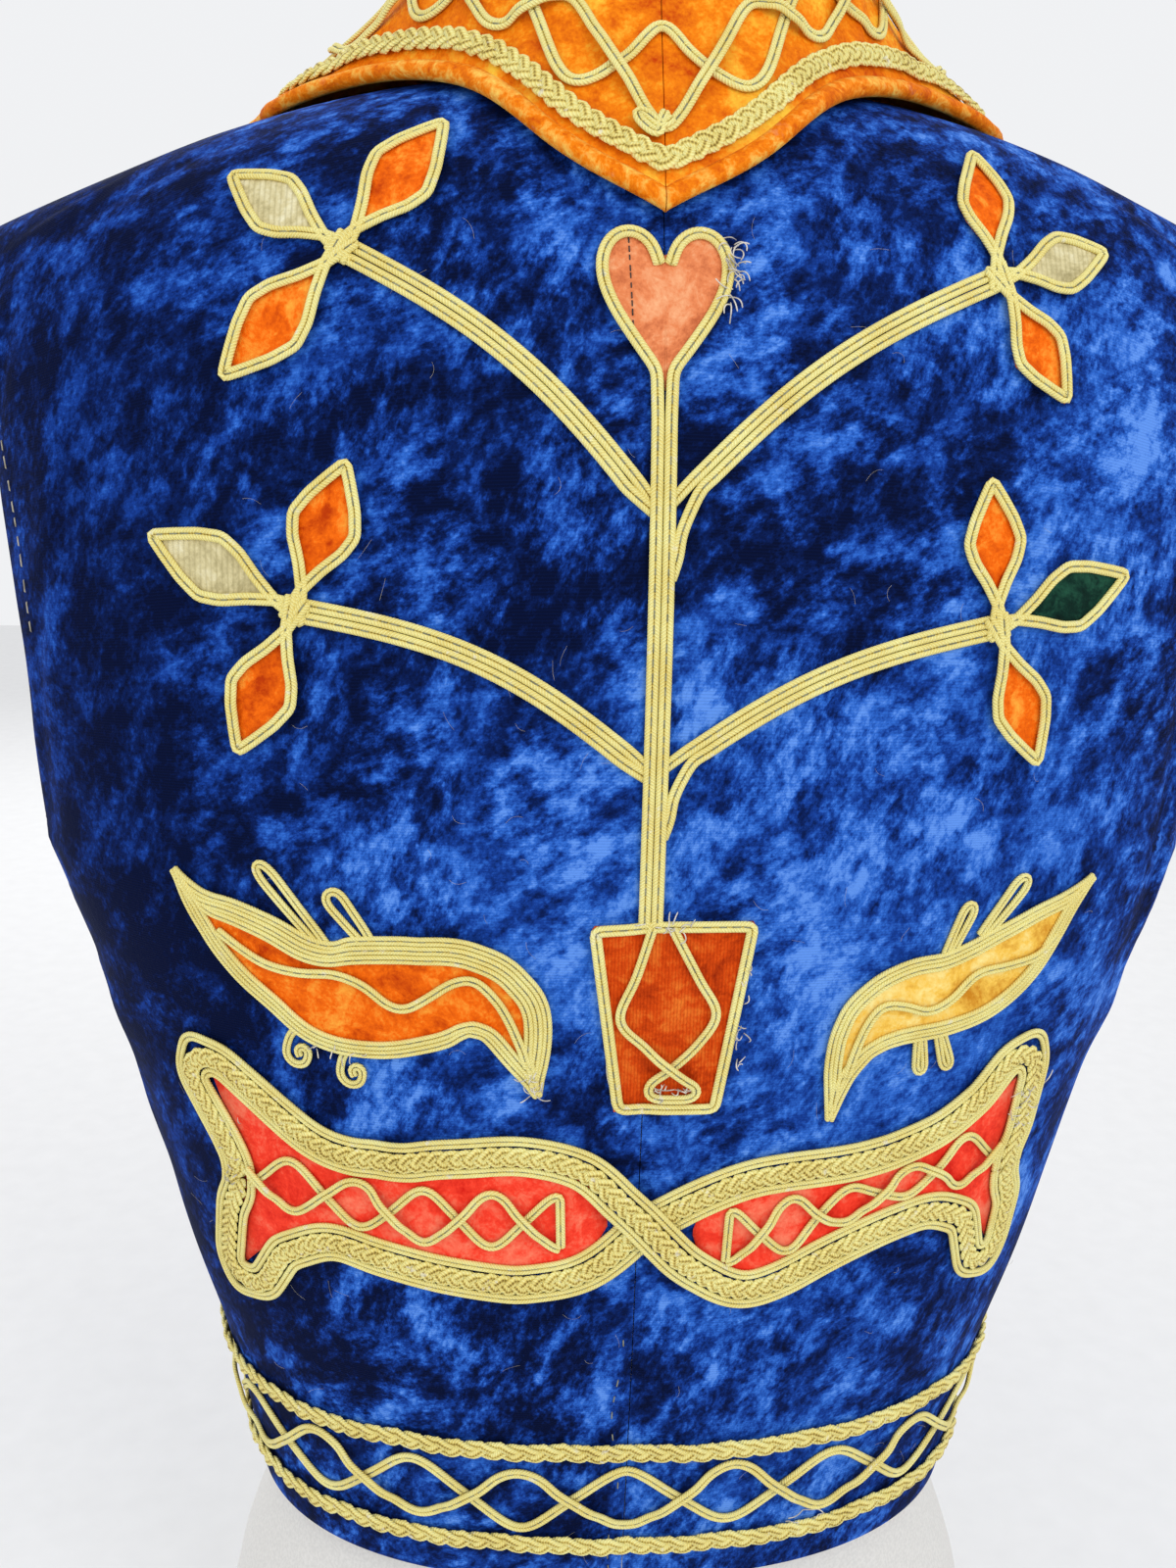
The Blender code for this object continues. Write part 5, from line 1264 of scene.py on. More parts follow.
def make_bird(bird):
    full = "bird_" + bird.name
    along = np.linspace(2.0, bird.body[-1].along - 0.9, 70)[:, None]
    half = read(bird.body, "half_width", along)
    share = np.linspace(-1, 1, 13) * (1 - np.minimum(1.6, half * 0.5) / half)
    places = bird_places(bird, *bird_section(bird, *matched(along, share)))
    mesh = laid_mesh(places, PATCH_BASE + 0.4 * (1 - share**2))
    make_patch(full + "_patch", mesh, bird.finish, full)
    work = CordWork(full + "_cords", full + "_wave",
                    *[full + "_" + loop.name for loop in bird.loops])
    for number, row in enumerate(BIRD_ROWS[bird.name]):
        line = bird_line(bird, row.side, row.off, row.first, row.last)
        route = on_back(evenly(line, CORD_STEP, 2), CORD_BASE + 0.35 + 0.12 * number)
        work.ribbon(route, BIRD_CORD, size_of("cord_height"), BIRD_SEWING)
    tail, beak = WAVE_ENDS[bird.name]
    wave = smooth_path(np.vstack([tail, bird.wave, beak]), 5)
    path = bird_places(bird, wave[:, 0], wave[:, 1])
    work.cord(on_back(evenly(path, CORD_STEP, 2), CORD_BASE + PATCH_BASE + 0.35), fine=True)
    for loop in bird.loops:
        work.ribbon(loop_route(bird, loop), LOOP_CORD, LOOP_HEIGHT, LOOP_SEWING)
    work.finish()


def loop_route(bird, loop):
    """A small loop of cord off the bird's outline, or a coil for a left foot."""
    root = np.array(bird_section(bird, loop.start, loop.share))
    away = unit(root - bird_section(bird, loop.start, 0))
    turn = math.radians(loop.turn)
    out = np.array([math.cos(turn), math.sin(turn)])
    sideways = left_of(out)
    start = root + away * (LOOP_OFF + loop.width * 0.5 * abs(sideways @ away))
    coiled = loop.share < 0 and bird.name == "left"
    shape = COIL if coiled else LOOP_SHAPE
    wide = loop.width * (1.5 if coiled else 1.0)
    path = np.array([start + out * loop.length * far + sideways * wide * off
                     for far, off in shape])
    places = smooth_path(bird_places(bird, path[:, 0], path[:, 1]), 5)
    return on_back(evenly(places, 0.9, 1))


# ------------------------------------------------------- the crossed fish
Fish = namedtuple("Fish", "along upper lower")
# Middle of the border, from the crossing to the tail.
LEFT_EDGES = each(
    Fish, (0, 0, 0), (18, 18, -16.2), (36, 24, -21.3), (60, 22.4, -20.2), (84, 19.6, -16),
    (100, 22, -13.2), (115, 32, -21.5),
)
RIGHT_EDGES = each(
    Fish, (0, 0, 0), (18, 9.5, -17.5), (34, 15.4, -25), (47, 17.2, -21.8), (60, 17.9, -15.6),
    (73, 19, -10.4), (88, 22.2, -6), (102, 27, -4.6), (115, 35.5, -10.5),
)
Tip = namedtuple("Tip", "along height first last")
LEFT_TIPS = {             # rounded tips of the tail: middle, and the angles of the turn
    "upper": Tip(136, 38.7, 131, -17),
    "lower": Tip(127.5, -31.2, -131, 9),
}
RIGHT_TIPS = {
    "upper": Tip(129, 41, 128, -10),
    "lower": Tip(125, -24, -131, 4),
}
TIP_RADIUS = 7.6
FISH_MIDDLE = -3.0
FISH_HEIGHT = 146.0
TAIL_TIP = {1: 1.0, -1: 0.93}   # length of the left and the right fish
BORDER = 14.0             # cord, broad plait and cord side by side
# Notch: where the border's two halves meet in the tail. Turn and end: the field's last rows.
Shape = namedtuple("Shape", "edges tips notch start turn end")
FISHES = {
    1: Shape(LEFT_EDGES, LEFT_TIPS, (129.5, 3.5),
             ((12.6, -0.7), (12.6, -0.1), (12.6, 0.5), (12.6, 1.1)),
             ((121.4, -21.5), (121.5, -6), (121.5, 13), (123.2, 30)),
             ((127.6, -33.5), (126, -7), (126, 14.5), (134.4, 41.6))),
    -1: Shape(RIGHT_EDGES, RIGHT_TIPS, (131, 4.5),
              ((15.5, -4.6), (15.5, -4), (15.5, -3.2), (15.5, -2.4)),
              ((121, -12), (122, -4), (122, 14), (120.5, 31.5)),
              ((124.6, -24), (127.2, -5), (127.2, 15), (129, 40.5))),
}
FISH_CORD = (27.5, 125.0) # how far along the inner zigzag runs
FISH_CORD_WAVES = 4.65
BORDER_CORD = 3.3
FIELD_TUCK = 3.4          # how far the field runs under the border
TAIL_TUCK = 3.0           # and its last row under the tail's border
TAIL_CORNER = 2.6         # how far the outer cord stands off at the tail's tips
BORDER_CORD_OFF = 5.3     # from the border's middle to each of its two cords
BORDER_SEWING = Sewing(4.4, 3.0, 0.28, 0.52)
BORDER_OVER = 2.3         # how far the upper border is lifted where the two cross
BROAD_PLAIT = 7.4
BROAD_HEIGHT = 2.5
BROAD_STRAND = 3.3
BROAD_PERIOD = 12.5


def fish_places(side, along, height):
    """Turns a fish's own sizes into (across, height) on the back."""
    across = FISH_MIDDLE + side * np.asarray(along) * TAIL_TIP[side]
    return np.stack([across, FISH_HEIGHT + np.asarray(height)], axis=-1)


def fish_edge(side, which):
    """Half an edge line, from the crossing round the tail's tip to its notch."""
    sign = 1 if which == "upper" else -1
    along = np.concatenate([np.linspace(0, 108, 40), [111.5, 115.0]])
    fish = FISHES[side]
    tip = fish.tips[which]
    turn = np.radians(np.linspace(tip.first, tip.last, 14))
    notch = np.array(fish.notch)
    places = np.vstack([
        np.stack([along, read(fish.edges, which, along)], axis=1),
        np.stack([np.cos(turn), np.sin(turn)], axis=1) * TIP_RADIUS + (tip.along, tip.height),
        notch + np.array([(3.2, 13.0 * sign), (0.0, 5.0 * sign), (0.0, 0.5 * sign)]),
    ])
    return fish_places(side, places[:, 0], places[:, 1])


def slant(fish, which, along):
    """How much longer a measure up the back is than one square to the border."""
    return np.sqrt(1 + slope_of(fish.edges, which, along) ** 2)


def make_fish_field(side, name):
    """The red velvet inside one fish."""
    fish = FISHES[side]
    along = np.linspace(18.5, 112.0, 56)[:, None]
    inset = BORDER / 2 - FIELD_TUCK
    share = np.linspace(0, 1, 16)
    high = read(fish.edges, "upper", along) - inset * slant(fish, "upper", along)
    low = read(fish.edges, "lower", along) + inset * slant(fish, "lower", along)
    places = fish_places(side, *matched(along, low + (high - low) * share))
    ends = []
    for row in (fish.start, fish.turn, fish.end):
        line = evenly(np.array(row), 0.1) + (TAIL_TUCK if row is fish.end else 0.0, 0.0)
        line = line[np.rint(share * (len(line) - 1)).astype(int)]
        ends.append(fish_places(side, *line.T)[None])
    mesh = laid_mesh(np.vstack([ends[0], places, ends[1], ends[2]]), PATCH_BASE)
    full = "fish_field_" + name
    make_patch(full + "_patch", mesh, "red_velvet", full)


def make_fish_cords(side, name):
    """The interlaced zigzag inside one fish, closed near its mouth."""
    for kind, turn, over in ZIGZAGS:
        phase = np.linspace(0, FISH_CORD_WAVES, 120) * math.pi
        along = FISH_CORD[0] + (FISH_CORD[1] - FISH_CORD[0]) * phase / phase[-1]
        edges = FISHES[side].edges
        upper, lower = read(edges, "upper", along), read(edges, "lower", along)
        half = np.clip((upper - lower) / 2 - BORDER / 2 - 1.9, 4.4, 9.6)
        height = (upper + lower) / 2 + half * zigzag(phase + QUARTER + turn)
        line = fish_places(side, along, height)
        if not over:
            # Its near end turns down to meet the other cord.
            line = np.vstack([fish_places(side, along[:1] - 0.6, height[:1] - 1.9 * half[:1]), line])
            phase = np.concatenate([phase[:1], phase])
        lift = over * crossing_lift(phase + QUARTER)
        work = CordWork(f"fish_zigzag_{name}_{kind}", f"fish_cord_{name}_{kind}")
        work.cord(settled(on_back(line, CORD_BASE + PATCH_BASE + lift)), fine=True)
        work.finish()


def tail_corners(line, route, across):
    """How far the outer cord runs out to a corner at each tip of the tails."""
    found = np.zeros(len(route.feet))
    length = lengths_of(route.feet)
    shares = lengths_of(line) / lengths_of(line)[-1]
    for side, _ in SIDES:
        for which in ("upper", "lower"):
            tip = FISHES[side].tips[which]
            turn = math.radians((tip.first + tip.last) / 2)
            corner = fish_places(side, tip.along + math.cos(turn) * TIP_RADIUS,
                                 tip.height + math.sin(turn) * TIP_RADIUS)
            off = np.linalg.norm(line - corner, axis=1)
            nearest = int(np.argmin(off))
            if off[nearest] < 3.0 and outer_side(line, nearest, across):
                found += bump(length - shares[nearest] * length[-1], 3.4) * TAIL_CORNER
    return found * np.sign(across)


def outer_side(line, at, across):
    """Whether a cord beside this turn of the border is on its outside."""
    before, after = line[at] - line[max(at - 6, 0)], line[min(at + 6, len(line) - 1)] - line[at]
    bend = before[0] * after[1] - before[1] * after[0]
    return bend * across < 0


def make_fish():
    for side, name in SIDES:
        make_fish_field(side, name)
        make_fish_cords(side, name)
    middle = np.array([FISH_MIDDLE, FISH_HEIGHT])
    for name, left, right, over in (("under", "lower", "upper", 0.0),
                                    ("over", "upper", "lower", 1.0)):
        line = evenly(np.vstack([fish_edge(1, left)[::-1], fish_edge(-1, right)[1:]]), 1.1, 4)
        off = np.linalg.norm(line - middle, axis=1)
        lift = EDGE_CORD + over * BORDER_OVER * np.clip((27 - off) / 12, 0, 1)
        route = settled(on_back(line, lift), 1)
        work = CordWork("fish_border_cords_" + name, "fish_border_" + name)
        work.plait(route, BROAD_PLAIT, BROAD_HEIGHT, BROAD_PERIOD, BROAD_STRAND)
        for across in (-BORDER_CORD_OFF, BORDER_CORD_OFF):
            feet = moved(route, across + tail_corners(line, route, across), 0 * route.feet[:, 0])
            edge = settled(Route(feet, route.outs), 2)
            work.ribbon(edge, BORDER_CORD, size_of("cord_height"), BORDER_SEWING)
        work.finish()


# --------------------------------------------------- linings and dress form
LINING_FIRST = 139.0      # the lining shows above this rise
LINING_INNER = 0.22       # and outwards of this share of the front
LINING_OFF = 1.4          # from the velvet's inside to the lining's face
LINING_CLOTH = 0.8


def make_lining(side, name):
    """The thin lining that shows inside the armhole."""
    around, rise = front_net(side, LINING_FIRST, LINING_INNER)
    points = vest_face(around, rise, -size_of("velvet_thickness") - LINING_OFF)
    part_seams(points, rise, -1)
    mesh = grid_mesh(points, cloth_marks(points), out=cloth_normal(around, rise))
    piece = make_piece("front_lining_" + name + "_cloth", [mesh], (peach_lining(),),
                       "peach_lining", "front_lining_" + name)
    thicken(piece, LINING_CLOTH)
    return piece, sheet_area(points)


Slice = namedtuple("Slice", "height half_width back front power")
FORM = each(
    Slice, (-140, 151, 106, 106, 2.3), (-100, 152, 108, 106, 2.3), (-60, 146, 104, 104, 2.3),
    (-25, 134, 94, 97, 2.3), (0, 128, 89, 94, 2.3), (60, 135, 93, 98, 2.3), (120, 147, 99, 105, 2.3),
    (180, 155, 104, 112, 2.3), (250, 159, 107, 116, 2.3), (320, 161, 107, 115, 2.3),
    (370, 161, 102, 109, 2.3), (405, 160, 95, 99, 2.3), (432, 158, 86, 90, 2.3),
    (449, 151, 78, 82, 2.1), (462.5, 132, 68, 72, 1.9), (472.5, 98, 60, 64, 1.7),
    (476.5, 66, 53, 56, 1.9), (487, 57, 49, 51, 2), (505, 53, 46, 47, 2), (540, 51, 45, 45, 2),
    (549, 48, 42, 42, 2), (553, 40, 35, 35, 2),
)
FORM_SEAM = 0.5           # depth of the cover's upright seams


def make_form():
    """A smooth torso with a capped neck and a flat base, and no limbs."""
    heights = np.unique(np.concatenate([
        np.linspace(-140, 430, 50), np.linspace(430, 495, 34), np.linspace(495, 553, 26),
    ]))
    turn = np.linspace(0, 2 * math.pi, 121)
    height, angle = np.meshgrid(heights, turn, indexing="ij")
    power = 2 / read(FORM, "power", height)
    sine, cosine = np.sin(angle), np.cos(angle)
    depth = np.where(cosine > 0, read(FORM, "back", height), read(FORM, "front", height))
    across = read(FORM, "half_width", height) * np.sign(sine) * np.abs(sine) ** power
    deep = depth * np.sign(cosine) * np.abs(cosine) ** power
    points = np.stack([across, deep, height], axis=-1)
    seams = sum(bump(np.remainder(angle - at * QUARTER + math.pi, 2 * math.pi) - math.pi, 0.02)
                for at in range(4))
    inward = unit(np.stack([across, deep, 0 * deep], axis=-1))
    points -= inward * (FORM_SEAM * seams)[..., None]
    points[:, -1] = points[:, 0]
    middle = points[[0, -1]].mean(axis=1, keepdims=True) + 0 * points[[0, -1]]
    near = middle + (points[[0, -1]] - middle) * 0.985
    points = np.concatenate([middle[:1], near[:1], points, near[1:] + (0, 0, 0.4),
                             middle[1:] + (0, 0, 0.6)])
    mesh = grid_mesh(points, cloth_marks(points), weld=True)
    return make_piece("dress_form_body", [mesh], (form_cover(),), "form_cover", "dress_form")


# ------------------------------------------------- sewing and loose threads
ARMHOLE_STITCH = 13.0     # from the armhole's edge
ARMHOLE_SEWING = (6.2, 4.0, 0.26)     # distance from stitch to stitch, length, radius
CENTRE_SEWING = (7.5, 3.4, 0.22)
THREAD_OFF = 0.1          # threads above the velvet
THREAD_RADIUS = 0.2
HAIR_RADIUS = 0.035


def make_sewing():
    """Running stitches beside the armholes and along the centre-back seam."""
    work = CordWork("armhole_stitches")
    for side, name in SIDES:
        rises = np.linspace(292, 486, 90)
        edge = read(ARMHOLE, "back_" + name, rises)
        around = side * (edge - ARMHOLE_STITCH / AROUND_LENGTH - 0.008 * np.sin(rises / 23.0))
        work.sewing(settled(on_vest(around, rises, THREAD_OFF)), *ARMHOLE_SEWING, skip=0.04)
        rises = np.linspace(300, 480, 90)
        edge = read(ARMHOLE, "front", rises)
        around = side * (2 - (edge - ARMHOLE_STITCH / AROUND_LENGTH))
        work.sewing(settled(on_vest(around, rises, THREAD_OFF)), *ARMHOLE_SEWING, skip=0.05)
    work.finish("pale_thread")
    work = CordWork("centre_seam_stitches")
    rises = np.linspace(2, 118, 80)
    around = 0.010 + 0.004 * np.sin(rises / 9.0)
    work.sewing(on_vest(around, rises, THREAD_OFF), *CENTRE_SEWING, skip=0.30)
    work.finish("cord_thread")


def curl(random, start, turn, length, bend, lift, steps=9):
    """(across, height, out) along a short loose hair or thread."""
    share = np.linspace(0, 1, steps)
    heading = turn + bend * share + 0.6 * math.sin(random.random() * 6) * share**2
    step = length / (steps - 1)
    across = start[0] + np.concatenate([[0], np.cumsum(np.cos(heading[:-1]) * step)])
    height = start[1] + np.concatenate([[0], np.cumsum(np.sin(heading[:-1]) * step)])
    out = 0.3 + lift * np.sin(share * math.pi * (0.5 + 0.5 * random.random()))
    return across, height, out


def thread_on_back(across, height, out, radius, fine=True):
    """A thin round thread over the back."""
    around, rise = spot(across, height)
    route = on_vest(around, rise, out)
    corners = np.linspace(0, 2 * math.pi, 5 if fine else 7)[::-1]
    section = np.stack([np.cos(corners) * radius, (1 + np.sin(corners)) * radius], axis=1)
    return swept_mesh(route, section, finish=THREAD_MARK)


# Where the trim has frayed: middle, spread, number of threads, their length, and thread.
Fray = namedtuple("Fray", "across height wide high count length thread", defaults=("white_thread",))
FRAYS = (
    Fray(-18.4, 430, 1.1, 11, 28, 4.4),     # heart's right edge
    Fray(-28.4, 216, 1.2, 18, 14, 3),     # pot's right side
    Fray(-5, 246, 7, 1.5, 14, 4),       # pot's top
    Fray(-126, 172, 4, 8, 22, 5),     # right fish's tail
    Fray(128, 158, 3, 14, 14, 3),     # left fish's tail
    Fray(93, 203, 9, 2, 9, 2.4),         # left bird's feet
    Fray(32.5, 195, 2, 4, 12, 4, "cord_thread"),         # left bird's beak
    Fray(-8, 193, 5, 1.5, 12, 3),        # pot's wave
)
# Longer single threads: places along each, on the back.
LOOSE = (
    ("cord_thread", ((16, 240), (14.6, 230), (12, 214), (11.2, 198), (8, 190))),
    ("white_thread", ((-140, 182), (-133, 176), (-134, 168), (-128, 162))),
    ("cord_thread", ((-14.5, 192.6), (-8, 193.4), (-2.4, 192.8))),
    ("cord_thread", ((-58, 21), (-64, 24), (-70, 21), (-64, 18.6), (-57, 20))),
)
HAIRS = 150


def make_loose_threads():
    """Frayed and loose threads, and fine hairs scattered over the back."""
    random = np.random.RandomState(SEED)
    meshes = {"white_thread": [], "cord_thread": []}
    for fray in FRAYS:
        for _ in range(fray.count):
            start = (fray.across + fray.wide * random.uniform(-1, 1),
                     fray.height + fray.high * random.uniform(-1, 1))
            line = curl(random, start, random.uniform(0, 6.3), fray.length * random.uniform(0.5, 1.2),
                        random.uniform(-2.4, 2.4), random.uniform(0.8, 2.2))
            meshes[fray.thread].append(thread_on_back(*line[:2], line[2] + 1.0, THREAD_RADIUS))
    for thread, places in LOOSE:
        path = smooth_path(np.array(places), 8)
        out = 0.5 + 0.8 * np.abs(np.sin(np.arange(len(path)) * 0.5))
        meshes[thread].append(thread_on_back(*path.T, out, THREAD_RADIUS, fine=False))
    make_piece("frayed_threads", meshes["white_thread"] + meshes["cord_thread"],
               (gold_cord(), sewing_thread("white_thread")), "gold_cord")
    hairs = []
    for _ in range(HAIRS):
        across, height = random.uniform(-150, 150), random.uniform(8, 440)
        if height > 250 and abs(across) > 118:
            continue
        line = curl(random, (across, height), random.uniform(0, 6.3), random.uniform(2, 6),
                    random.uniform(-1.8, 1.8), random.uniform(0.2, 0.9), steps=7)
        hairs.append(thread_on_back(*line, HAIR_RADIUS))
    make_piece("lint_hairs", hairs, (gold_cord(), sewing_thread("pale_thread")), "gold_cord")


# ------------------------------------------------------------------ shading
def linear(red, green, blue):
    """A colour given as 0-255 display values, in linear light."""
    return tuple(
        value / 255 / 12.92 if value <= 10 else ((value / 255 + 0.055) / 1.055) ** 2.4
        for value in (red, green, blue)
    )


class Value:
    """A shader socket that takes plain arithmetic."""

    def __init__(self, shader, socket):
        self.shader = shader
        self.socket = socket

    def math(self, operation, *values):
        return self.shader.node("ShaderNodeMath", *values, operation=operation)

    def __add__(self, other):
        return self.math("ADD", self, other)

    def __radd__(self, other):
        return self.math("ADD", other, self)

    def __sub__(self, other):
        return self.math("SUBTRACT", self, other)

    def __rsub__(self, other):
        return self.math("SUBTRACT", other, self)

    def __mul__(self, other):
        return self.math("MULTIPLY", self, other)

    def __rpow__(self, other):
        return self.math("POWER", other, self)

    def __neg__(self):
        return self.math("MULTIPLY", self, -1.0)

    def __abs__(self):
        return self.math("ABSOLUTE", self)

    def sine(self):
        return self.math("SINE", self)


class Shader:
    """One material, built node by node."""

    def __init__(self, name):
        self.name = name
        self.material = bpy.data.materials.new(name + "_finish")
        self.material.use_nodes = True
        self.tree = self.material.node_tree
        self.surface = self.tree.nodes["Principled BSDF"]

    def node(self, kind, *values, output=0, sockets=None, **settings):
        """Any node: its settings first, then its sockets by place and by name."""
        made = self.tree.nodes.new(kind)
        for name, setting in settings.items():
            setattr(made, name, setting)
        self.fill(made, {**dict(enumerate(values)), **(sockets or {})})
        return Value(self, made.outputs[output])

    def fill(self, node, sockets):
        """Links a node's sockets or sets them to plain values."""
        for key, value in sockets.items():
            if isinstance(value, Value):
                self.tree.links.new(value.socket, node.inputs[key])
            elif value is not None:
                node.inputs[key].default_value = value

    def place(self):
        """Object coordinates, in metres."""
        return self.node("ShaderNodeTexCoord", output="Object")

    def marks(self):
        """The piece's own map: (across, along), in millimetres or shares."""
        return self.node("ShaderNodeUVMap", uv_map="cloth")

    def parts(self, vector):
        split = self.node("ShaderNodeSeparateXYZ", vector).socket.node
        return [Value(self, socket) for socket in split.outputs]

    def joined(self, x, y, z):
        return self.node("ShaderNodeCombineXYZ", x, y, z)

    def vector(self, operation, *values):
        return self.node("ShaderNodeVectorMath", *values, operation=operation)

    def noise(self, place, scale, detail=2.0, roughness=0.5):
        sockets = {"Vector": place, "Scale": scale, "Detail": detail, "Roughness": roughness}
        return self.node("ShaderNodeTexNoise", sockets=sockets)

    def blend(self, share, first, second):
        """A colour between two others."""
        first, second = ((*c, 1.0) if isinstance(c, tuple) else c for c in (first, second))
        sockets = {0: share, 6: first, 7: second}
        return self.node("ShaderNodeMix", output=2, sockets=sockets, data_type="RGBA")

    def step(self, value, low, high):
        """0 to 1 as a value goes from low to high, eased."""
        sockets = {"Value": value, "From Min": low, "From Max": high}
        return self.node("ShaderNodeMapRange", sockets=sockets, interpolation_type="SMOOTHSTEP")

    def ramp(self, value, *stops):
        """A colour through (place, colour) stops."""
        made = self.node("ShaderNodeValToRGB", value)
        band = made.socket.node.color_ramp
        for number, (place, colour) in enumerate(stops):
            if number > 1:
                band.elements.new(place)
        for element, (place, colour) in zip(band.elements, stops):
            element.position = place
            element.color = (*colour, 1.0)
        return made

    def bump(self, height, strength, distance):
        sockets = {"Strength": strength, "Distance": distance, "Height": height}
        return self.node("ShaderNodeBump", sockets=sockets)

    def finish(self, colour, roughness, normal=None, sheen=0.0, tint=(1.0, 1.0, 1.0),
               specular=0.5):
        """Joins the results to the surface, and gives the material."""
        self.fill(self.surface, {
            "Base Color": colour, "Roughness": roughness, "Normal": normal,
            "Specular IOR Level": specular, "Sheen Weight": sheen, "Sheen Roughness": 0.35,
            "Sheen Tint": (*tint, 1.0),
        })
        return self.material


def made_once(make):
    """Makes a finish the first time it is asked for, and finds it again after that."""
    def ready(name=make.__name__, *values, **settings):
        found = bpy.data.materials.get(name + "_finish")
        return found or make(Shader(name), *values, **settings)
    return ready


def tones(*names):
    """Some of the panel's colours."""
    return [tuple(getattr(bpy.context.scene.vest_colours, name)) for name in names]


FULL_TURN = 6.283


# Where the pile lies lighter or darker, with painted light on the wearer's right of the back and
# painted shade on its left: middle, half sizes and strength.
NapAndLight = namedtuple("NapAndLight", "across height wide high strength")
NAP_AND_LIGHT_AREAS = each(
    NapAndLight, (-125, 330, 34, 110, 0.12), (-90, 205, 66, 64, 0.25), (-60, 60, 60, 40, 0.16),
    (-70, 440, 45, 34, 0.08), (30, 235, 34, 44, 0.14), (-14, 330, 34, 60, 0.08),
    (160, 270, 60, 240, -0.3), (90, 60, 60, 40, 0.03),
)


@made_once
def blue_velvet(shader):
    """Crushed blue velvet, with broad patches where the pile lies another way, and its sheen and shade
    painted into the colour.
    """
    place = shader.place()
    x, y, z = shader.parts(place)
    # Crushed marks run one way in some patches and across it in others.
    turned = shader.step(shader.noise(place, 22.0, 1.0), 0.44, 0.56)
    one = shader.joined(x * 1.15 + z * 0.60, y, z * 0.62 - x * 0.45)
    other = shader.joined(x * 0.70 - z * 0.25, y, z * 1.10 + x * 0.50)
    broad = shader.noise(place, 12.0, 2.0, 0.5)
    crushed = [shader.blend(turned, shader.noise(one, fine_one, detail, 0.72),
                            shader.noise(other, fine_other, detail, 0.72))
               for fine_one, fine_other, detail in ((46.0, 50.0, 6.0), (210.0, 190.0, 5.0))]
    patch, marks = (shader.parts(found)[0] for found in crushed)
    fine = shader.noise(place, 650.0, 2.0, 0.6)
    # Broad areas of the back painted lighter and darker: partly the pile's own lie, partly painted
    # light on the wearer's right and painted shade on the left.
    nap_and_light = 0.0
    for area in NAP_AND_LIGHT_AREAS:
        off_x = (x - area.across * MM) * (1 / (area.wide * MM))
        off_z = (z - (area.height + HEM_HEIGHT) * MM) * (1 / (area.high * MM))
        soft = 2.718 ** (-(off_x * off_x + off_z * off_z))
        nap_and_light = nap_and_light + soft * area.strength
    front = shader.step(y, 0.02, -0.02)
    crush = shader.step(patch, 0.40, 0.64) - 0.5
    light = (broad - 0.5) * 1.2 + crush * 0.50 + (patch - 0.5) * 1.1 + (marks - 0.5) * 1.6
    # Where all the pile leans one way, and where the back is painted lighter or darker, it marks less.
    calm = abs(nap_and_light) * 1.3
    light = light * (1.0 - calm * (1.0 - front)) + (fine - 0.5) * 0.5
    light = light + 0.44 + nap_and_light * (1.0 - front) + front * 0.02
    # The tones are painted deep shade, painted shade, the velvet's own blue, painted light and a
    # painted glint, laid over the crushed patches.
    blues = tones("velvet_dark", "velvet_shade", "velvet", "velvet_light", "velvet_glint")
    colour = shader.ramp(light, *zip((0.0, 0.24, 0.48, 0.74, 1.0), blues))
    weave = (shader.parts(shader.marks())[1] * 6.98).sine()
    colour = shader.blend(shader.step(weave, 0.1, 1.0) * 0.18, colour, blues[1])
    normal = shader.bump(patch * 0.4 + marks * 0.5 + fine * 0.2 + weave * 0.03, 0.45, 0.0014)
    return shader.finish(colour, 0.7, normal, sheen=0.03, tint=linear(120, 160, 255),
                         specular=0.03)


@made_once
def pile(shader, dark, middle, bright, scale=1.0, sheen=0.25, ribs=0.0, worn=0.0):
    """A small-patterned pile cloth in three tones, painted shade, its own colour and painted sheen, in
    crushed patches, with woven ribs if wanted.
    """
    place = shader.place()
    warp = shader.noise(place, 60.0 * scale, 2.0)
    warped = shader.vector("ADD", place, shader.joined(warp * 0.012, 0.0, warp * 0.016))
    broad = shader.noise(warped, 48.0 * scale, 3.0, 0.6)
    crush = shader.noise(warped, 170.0 * scale, 5.0, 0.72)
    fine = shader.noise(place, 900.0, 1.0)
    light = (broad - 0.5) * 1.2 + (crush - 0.5) * 1.3 + (fine - 0.5) * 0.3 + 0.5
    # Painted shade and painted sheen highlights over the cloth's own colour, in crushed patches.
    colour = shader.ramp(light, (0.1, dark), (0.48, middle), (0.86, bright))
    height = crush * 0.7 + fine * 0.3
    if ribs:
        across = shader.parts(shader.marks())[0]
        line = ((across + fine * 0.4) * (FULL_TURN / ribs)).sine()
        # Rib lines darkened towards the painted shade tone.
        colour = shader.blend(shader.step(line, 0.0, 1.0) * 0.35, colour, dark)
        height = height + line * 0.12
    if worn:
        bare = shader.noise(place, 130.0, 3.0, 0.7)
        colour = shader.blend(shader.step(bare, 0.62, 0.74) * worn, colour, (0.72, 0.66, 0.55))
    normal = shader.bump(height, 0.5, 0.0009)
    return shader.finish(colour, 0.6, normal, sheen=sheen, tint=bright, specular=0.06)


def orange_velvet():
    return pile("collar_velvet", *tones("orange_dark", "orange", "orange_light"), scale=0.62,
                sheen=0.3)


def binding_velvet():
    return pile("binding_velvet", *tones("orange_dark", "orange", "orange_glint"), scale=1.3,
                worn=0.1)


